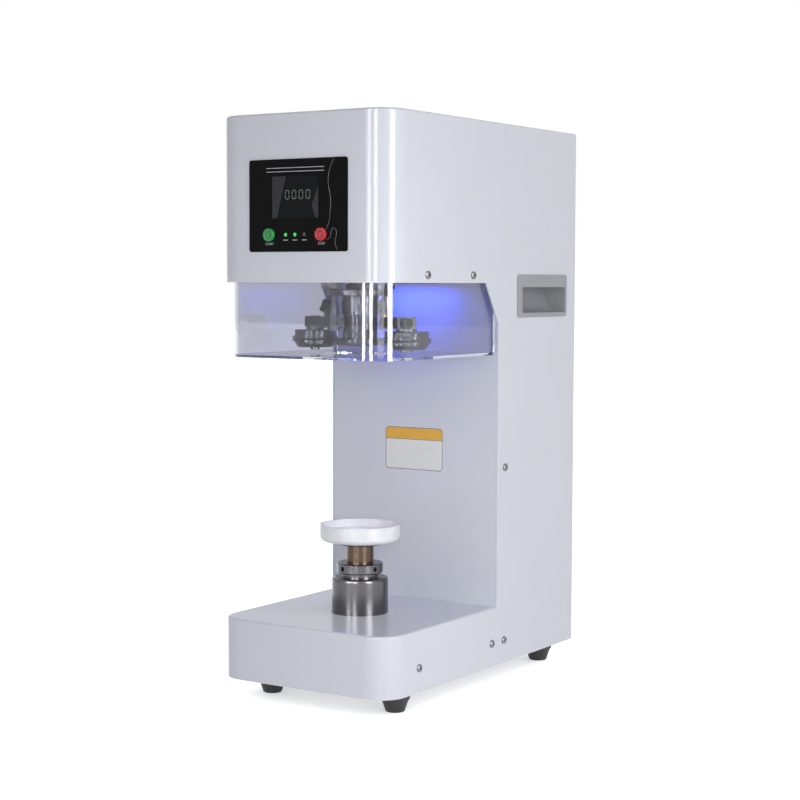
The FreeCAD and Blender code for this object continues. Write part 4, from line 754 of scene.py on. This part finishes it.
class SEAMER_OT_screws(bpy.types.Operator):
    """Pan heads with cross recesses on both sides and on the rear panel"""

    bl_idname = "seamer.screws"
    bl_label = "Screws"

    def execute(self, context):
        sizes = context.scene.seamer_sizes
        shell_low, shell_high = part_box("casing")
        heads = []
        for low, high in shells("side_screws"):
            middle_of = (low + high) / 2
            side = 1.0 if middle_of.x > 0 else -1.0
            edge = shell_high.x if side > 0 else -shell_low.x
            height = (high.x if side > 0 else -low.x) - edge
            if height <= 0:
                continue
            seat = (side * edge, middle_of.y, middle_of.z)
            name = "side_screw_%d" % (len(heads) + 1)
            radius = (high.z - low.z) / 2
            heads.append(pan_head(name, seat, (side, 0.0, 0.0), radius, height, sizes))
        sides = dress(merge(heads, "side_screw_heads"), FINISHES["steel_screws"], "frame")
        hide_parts("side_screws")
        low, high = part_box("rear_panel")
        rear = []
        for x in (low.x + sizes.rear_inset, high.x - sizes.rear_inset):
            for z in (low.z + 0.02, (low.z + high.z) / 2, high.z - sizes.rear_inset):
                name = "rear_screw_%d" % (len(rear) + 1)
                seat = (x, high.y, z)
                rear.append(pan_head(name, seat, (0.0, 1.0, 0.0), sizes.rear_screw, 0.0022, sizes))
        dress(merge(rear, "rear_screw_heads"), FINISHES["steel_screws"], "frame")
        return {"FINISHED"}


class SEAMER_OT_collar(bpy.types.Operator):
    """Set screws in the four holes of the lock collar"""

    bl_idname = "seamer.collar"
    bl_label = "Collar set screws"

    def execute(self, context):
        low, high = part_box("lock_collar")
        middle_of = (low + high) / 2
        reach = (high.x - low.x) / 2
        screws = []
        for turn in range(4):
            angle = math.radians(75 + 90 * turn)
            way = Vector((math.cos(angle), math.sin(angle), 0.0))
            name = "collar_screw_%d" % (turn + 1)
            screws.append(grub_screw(name, middle_of + way * (reach - 0.0009), way, 0.0027, 0.005))
        group = merge(screws, "collar_set_screws")
        dress(group, FINISHES["black_steel"], body_of("lock_collar"))
        return {"FINISHED"}


class SEAMER_OT_print(bpy.types.Operator):
    """Plain rules, key words and light dashes printed on the overlay"""

    bl_idname = "seamer.print"
    bl_label = "Overlay print"

    def execute(self, context):
        ink = context.scene.seamer_sizes.ink
        low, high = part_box("control_panel")
        wide = high.x - low.x
        tall = high.z - low.z
        front = low.y
        marks = []
        for down, height in ((0.095, 0.0008), (0.135, 0.0008)):
            z = high.z - down * tall
            marks.append(slab(
                "title_rule", (low.x + 0.18 * wide, front - ink, z - height / 2),
                (low.x + 0.77 * wide, front + ink, z + height / 2), height * 0.45,
            ))
        for x, z in ((-0.0192, 0.873), (-0.0058, 0.873), (0.0076, 0.873)):
            z = high.z - z * tall
            marks.append(slab(
                "light_dash", (x - 0.0035, front - ink, z - 0.0005), (x + 0.0035, front + ink, z + 0.0005), 0.0004
            ))
        label = high.z - 0.915 * tall
        marks.append(word("start_word", "START", (centre_of("start_button").x, front, label), 0.0042, 2 * ink))
        marks.append(word("stop_word", "STOP", (centre_of("stop_button").x, front, label), 0.0042, 2 * ink))
        dress(merge(marks, "overlay_print"), FINISHES["panel_ink"], "frame")
        return {"FINISHED"}


class SEAMER_OT_digits(bpy.types.Operator):
    """Four faint seven-segment noughts in the window"""

    bl_idname = "seamer.digits"
    bl_label = "Display digits"

    def execute(self, context):
        ink = context.scene.seamer_sizes.ink
        low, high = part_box("display_window")
        wide = high.x - low.x
        tall = high.z - low.z
        half = 0.1 * tall
        width = 0.0011
        parts = []
        for digit in range(4):
            x = low.x + (0.33 + 0.15 * digit) * wide
            z = low.z + 0.56 * tall
            for sx, sz in ((-1, 1), (1, 1), (-1, -1), (1, -1)):
                spot = (x + sx * half * 0.55, z + sz * half / 2)
                parts.append(self.segment(spot, (width / 2, half / 2 - 0.0003), low.y, ink))
            for sz in (-1, 1):
                spot = (x, z + sz * half)
                parts.append(self.segment(spot, (half * 0.55 - 0.0003, width / 2), low.y, ink))
        dress(merge(parts, "display_digits"), FINISHES["segment"], "frame")
        return {"FINISHED"}

    def segment(self, spot, half, front, ink):
        """One bar with pointed ends."""
        low = (spot[0] - half[0], front - ink, spot[1] - half[1])
        high = (spot[0] + half[0], front + ink, spot[1] + half[1])
        return slab("segment", low, high, min(half) * 0.95, 1)


class SEAMER_OT_crease(bpy.types.Operator):
    """Thin crease in the protective film of the overlay"""

    bl_idname = "seamer.crease"
    bl_label = "Film crease"

    def execute(self, context):
        runs = (
            ((0.87, 0.01), (0.83, 0.09), (0.81, 0.21), (0.81, 0.30), (0.84, 0.44), (0.83, 0.58),
             (0.82, 0.70), (0.79, 0.76)),
            ((0.79, 0.87), (0.83, 0.87), (0.84, 0.78), (0.86, 0.74), (0.90, 0.78), (0.88, 0.88),
             (0.88, 0.93), (0.90, 0.98)),
        )
        creases = [self.line(points, 0.00022) for points in runs]
        dress(merge(creases, "film_crease"), FINISHES["film_crease"], "frame")
        return {"FINISHED"}

    def line(self, points, radius):
        """A smooth raised line through shares of the overlay's width and height."""
        low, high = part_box("control_panel")
        clear_selection()
        bpy.ops.curve.primitive_nurbs_path_add()
        curve = bpy.context.object
        spline = curve.data.splines[0]
        spline.points.add(len(points) - len(spline.points))
        for point, (across, down) in zip(spline.points, points):
            x = low.x + across * (high.x - low.x)
            z = high.z - down * (high.z - low.z)
            point.co = (x, low.y, z, 1.0)
        spline.order_u = 3
        spline.use_endpoint_u = True
        curve.data.bevel_depth = radius
        curve.data.bevel_resolution = 2
        curve.data.use_fill_caps = True
        bpy.ops.object.convert(target="MESH")
        return smooth(settle(bpy.context.object, "crease_line"), 60.0)


class SEAMER_OT_keys(bpy.types.Operator):
    """Start and stop keys with a raised rim and a dished middle"""

    bl_idname = "seamer.keys"
    bl_label = "Keys"

    def execute(self, context):
        edge = context.scene.seamer_sizes.edge
        for node, finish in (("start_button", "green_button"), ("stop_button", "red_button")):
            low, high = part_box(node)
            radius = (high.x - low.x) / 2
            spot = (low + high) / 2
            turn = (math.radians(90), 0.0, 0.0)
            key = start_round(node.replace("button", "key_cap"), radius, high.y - low.y, spot, turn, 64)
            edit(key)
            pick(key, lambda f: f.normal.y < -0.9)
            for inset, sink in ((0.34, 0.0007), (0.26, -0.0005), (0.2, 0.0006)):
                bpy.ops.mesh.inset(thickness=radius * inset, depth=0.0)
                bpy.ops.mesh.inset(thickness=radius * 0.03, depth=0.0)
                bpy.ops.transform.translate(value=(0.0, sink, 0.0))
            close(key)
            rounded_rim(key, Vector((0.0, -1.0, 0.0)), edge)
            dress(smooth(key, 30.0), FINISHES[finish], body_of(node))
            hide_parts(node)
        return {"FINISHED"}


class SEAMER_OT_studio(bpy.types.Operator):
    """Set up the floor, the lamps, the world and the camera"""

    bl_idname = "seamer.studio"
    bl_label = "Studio"

    def execute(self, context):
        studio = context.scene.seamer_studio
        self.camera(context.scene, studio)
        self.world(context.scene, studio)
        self.floor()
        self.lamps(studio)
        context.scene.view_settings.view_transform = "Standard"
        return {"FINISHED"}

    def camera(self, scene, studio):
        """Camera at the product view."""
        yaw, pitch, roll = studio.yaw, studio.pitch, studio.roll
        right = Vector((math.cos(yaw), math.sin(yaw), 0.0))
        ahead = Vector((-math.sin(yaw) * math.cos(pitch), math.cos(yaw) * math.cos(pitch), -math.sin(pitch)))
        up = right.cross(ahead)
        across = math.cos(roll) * right + math.sin(roll) * up
        above = math.cos(roll) * up - math.sin(roll) * right
        data = bpy.data.cameras.new("camera")
        data.lens = studio.lens
        data.sensor_width = 36.0
        data.clip_end = 50.0
        camera = bpy.data.objects.new("camera", data)
        scene.collection.objects.link(camera)
        turn = Matrix((across, above, -ahead)).transposed().to_4x4()
        camera.matrix_world = Matrix.Translation(studio.eye) @ turn
        scene.camera = camera

    def world(self, scene, studio):
        """Soft grey light on matt surfaces and a white room in sight and reflections."""
        world = bpy.data.worlds.new("studio_world")
        world.use_nodes = True
        tree = world.node_tree
        sky = tree.nodes["Background"]
        sky.inputs["Color"].default_value = (0.94, 0.95, 1.0, 1.0)
        place = tree.nodes.new("ShaderNodeTexCoord")
        parts = tree.nodes.new("ShaderNodeSeparateXYZ")
        fade = tree.nodes.new("ShaderNodeMapRange")
        fade.inputs["To Min"].default_value = studio.ambient * 1.42
        fade.inputs["To Max"].default_value = studio.ambient * 0.12
        tree.links.new(place.outputs["Generated"], parts.inputs["Vector"])
        tree.links.new(parts.outputs["Z"], fade.inputs["Value"])
        tree.links.new(fade.outputs["Result"], sky.inputs["Strength"])
        white = tree.nodes.new("ShaderNodeBackground")
        white.inputs["Color"].default_value = (1.0, 1.0, 1.0, 1.0)
        path = tree.nodes.new("ShaderNodeLightPath")
        seen = tree.nodes.new("ShaderNodeMath")
        seen.operation = "MAXIMUM"
        tree.links.new(path.outputs["Is Camera Ray"], seen.inputs[0])
        tree.links.new(path.outputs["Is Glossy Ray"], seen.inputs[1])
        also = tree.nodes.new("ShaderNodeMath")
        also.operation = "MAXIMUM"
        tree.links.new(seen.outputs[0], also.inputs[0])
        tree.links.new(path.outputs["Is Transmission Ray"], also.inputs[1])
        mix = tree.nodes.new("ShaderNodeMixShader")
        tree.links.new(also.outputs[0], mix.inputs["Fac"])
        tree.links.new(sky.outputs[0], mix.inputs[1])
        tree.links.new(white.outputs[0], mix.inputs[2])
        tree.links.new(mix.outputs[0], tree.nodes["World Output"].inputs["Surface"])
        scene.world = world

    def floor(self):
        """A pale floor, white away from the seamer, with the lamps' shadow and a painted contact shadow near it.
        """
        clear_selection()
        bpy.ops.mesh.primitive_plane_add(size=30.0, location=(0.0, 0.0, 0.0))
        floor = settle(bpy.context.object, "floor")
        f = Finish("floor_paper", (0.8, 0.8, 0.8), 0.9)
        f.vary(f.cloud(6.0, 2.0), 0.01)
        path = f.node("LightPath")
        seen = f.node("Math", operation="MAXIMUM")
        f.link(path.outputs["Is Camera Ray"], seen.inputs[0])
        f.link(path.outputs["Is Glossy Ray"], seen.inputs[1])
        also = f.node("Math", operation="MAXIMUM")
        f.link(seen.outputs[0], also.inputs[0])
        f.link(path.outputs["Is Transmission Ray"], also.inputs[1])
        # Painted contact shadow: near the seamer, ambient occlusion dims the white glow seen by camera, glossy
        # and transmission rays.
        lift = f.node("Emission")
        painted_contact_shadow = f.node("AmbientOcclusion")
        painted_contact_shadow.inputs["Distance"].default_value = 0.20
        f.link(f.ease(painted_contact_shadow.outputs["AO"], 0.40, 0.95, 0.05, 0.66), lift.inputs["Strength"])
        nothing = f.node("Emission")
        nothing.inputs["Strength"].default_value = 0.0
        glow = f.node("MixShader")
        f.link(also.outputs[0], glow.inputs["Fac"])
        f.link(nothing.outputs[0], glow.inputs[1])
        f.link(lift.outputs[0], glow.inputs[2])
        both = f.node("AddShader")
        f.link(f.shader.outputs["BSDF"], both.inputs[0])
        f.link(glow.outputs[0], both.inputs[1])
        f.link(both.outputs[0], f.tree.nodes["Material Output"].inputs["Surface"])
        floor.data.materials.append(f.material)

    def lamps(self, studio):
        """A key lamp at the right, a near side lamp, two tall strips and the blue work light."""
        heart = (0.0, -0.1, 0.35)
        key = self.lamp("key_lamp", (2.6, 0.3, 1.5), (0.0, 0.0, 0.35), (1.6, 1.6), studio.key)
        near = self.lamp("near_lamp", (0.62, -0.75, 0.42), heart, (0.3, 0.3), studio.side)
        for lamp in (key, near):
            lamp.visible_glossy = False
        for name, place, size in (
            ("strip_front", (0.62, -3.0, 1.2), (0.55, 3.6)),
            ("strip_right", (2.9, -0.95, 1.2), (0.9, 3.6)),
            ("strip_corner", (-0.65, -2.9, 1.2), (0.5, 3.6)),
        ):
            strip = self.lamp(name, place, (0.0, -0.1, 0.8), size, studio.strip * 4 * size[0] * size[1])
            strip.visible_diffuse = False
        low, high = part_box("work_light")
        spot = Vector(((low.x + high.x) / 2, (low.y + high.y) / 2, low.z - 0.0005))
        glow = self.lamp("work_glow", spot, spot - Vector((0.0, 0.0, 1.0)), (0.11, 0.012), 0.22)
        glow.data.color = (0.04, 0.09, 1.0)
        glow.visible_camera = False
        glow.visible_glossy = False
        glow.visible_transmission = False

    def lamp(self, name, place, target, size, power):
        """One rectangular lamp that faces a target."""
        data = bpy.data.lights.new(name, "AREA")
        data.shape = "RECTANGLE"
        data.size, data.size_y = size
        data.energy = power
        lamp = bpy.data.objects.new(name, data)
        lamp.location = place
        aim = Vector(target) - Vector(place)
        lamp.rotation_euler = aim.to_track_quat("-Z", "Y").to_euler()
        bpy.context.scene.collection.objects.link(lamp)
        return lamp


class SEAMER_PT_panel(bpy.types.Panel):
    """Buttons that model and finish the seamer"""

    bl_idname = "SEAMER_PT_panel"
    bl_label = "Can seamer"
    bl_space_type = "VIEW_3D"
    bl_region_type = "UI"
    bl_category = "Can seamer"

    def draw(self, context):
        for kind in STEPS:
            self.layout.operator(kind.bl_idname)
        for group in ("seamer_colours", "seamer_sizes", "seamer_studio"):
            settings = getattr(context.scene, group)
            box = self.layout.box()
            for key in settings.__annotations__:
                box.prop(settings, key)


STEPS = (
    SEAMER_OT_finishes,
    SEAMER_OT_screws,
    SEAMER_OT_collar,
    SEAMER_OT_print,
    SEAMER_OT_digits,
    SEAMER_OT_crease,
    SEAMER_OT_keys,
    SEAMER_OT_studio,
)
GROUPS = (SeamerColours, SeamerSizes, SeamerStudio)


def register():
    """Register the classes and their settings."""
    for kind in (*GROUPS, *STEPS, SEAMER_PT_panel):
        bpy.utils.register_class(kind)
    bpy.types.Scene.seamer_colours = PointerProperty(type=SeamerColours)
    bpy.types.Scene.seamer_sizes = PointerProperty(type=SeamerSizes)
    bpy.types.Scene.seamer_studio = PointerProperty(type=SeamerStudio)


def unregister():
    """Remove the settings and the classes."""
    del bpy.types.Scene.seamer_studio
    del bpy.types.Scene.seamer_sizes
    del bpy.types.Scene.seamer_colours
    for kind in reversed((*GROUPS, *STEPS, SEAMER_PT_panel)):
        bpy.utils.unregister_class(kind)


def main():
    """Register, model, finish and set up the studio."""
    register()
    clear_selection()
    bpy.ops.seamer.finishes()
    bpy.ops.seamer.screws()
    bpy.ops.seamer.collar()
    bpy.ops.seamer.print()
    bpy.ops.seamer.digits()
    bpy.ops.seamer.crease()
    bpy.ops.seamer.keys()
    bpy.ops.seamer.studio()
    clear_selection()


if __name__ == "__main__":
    main()
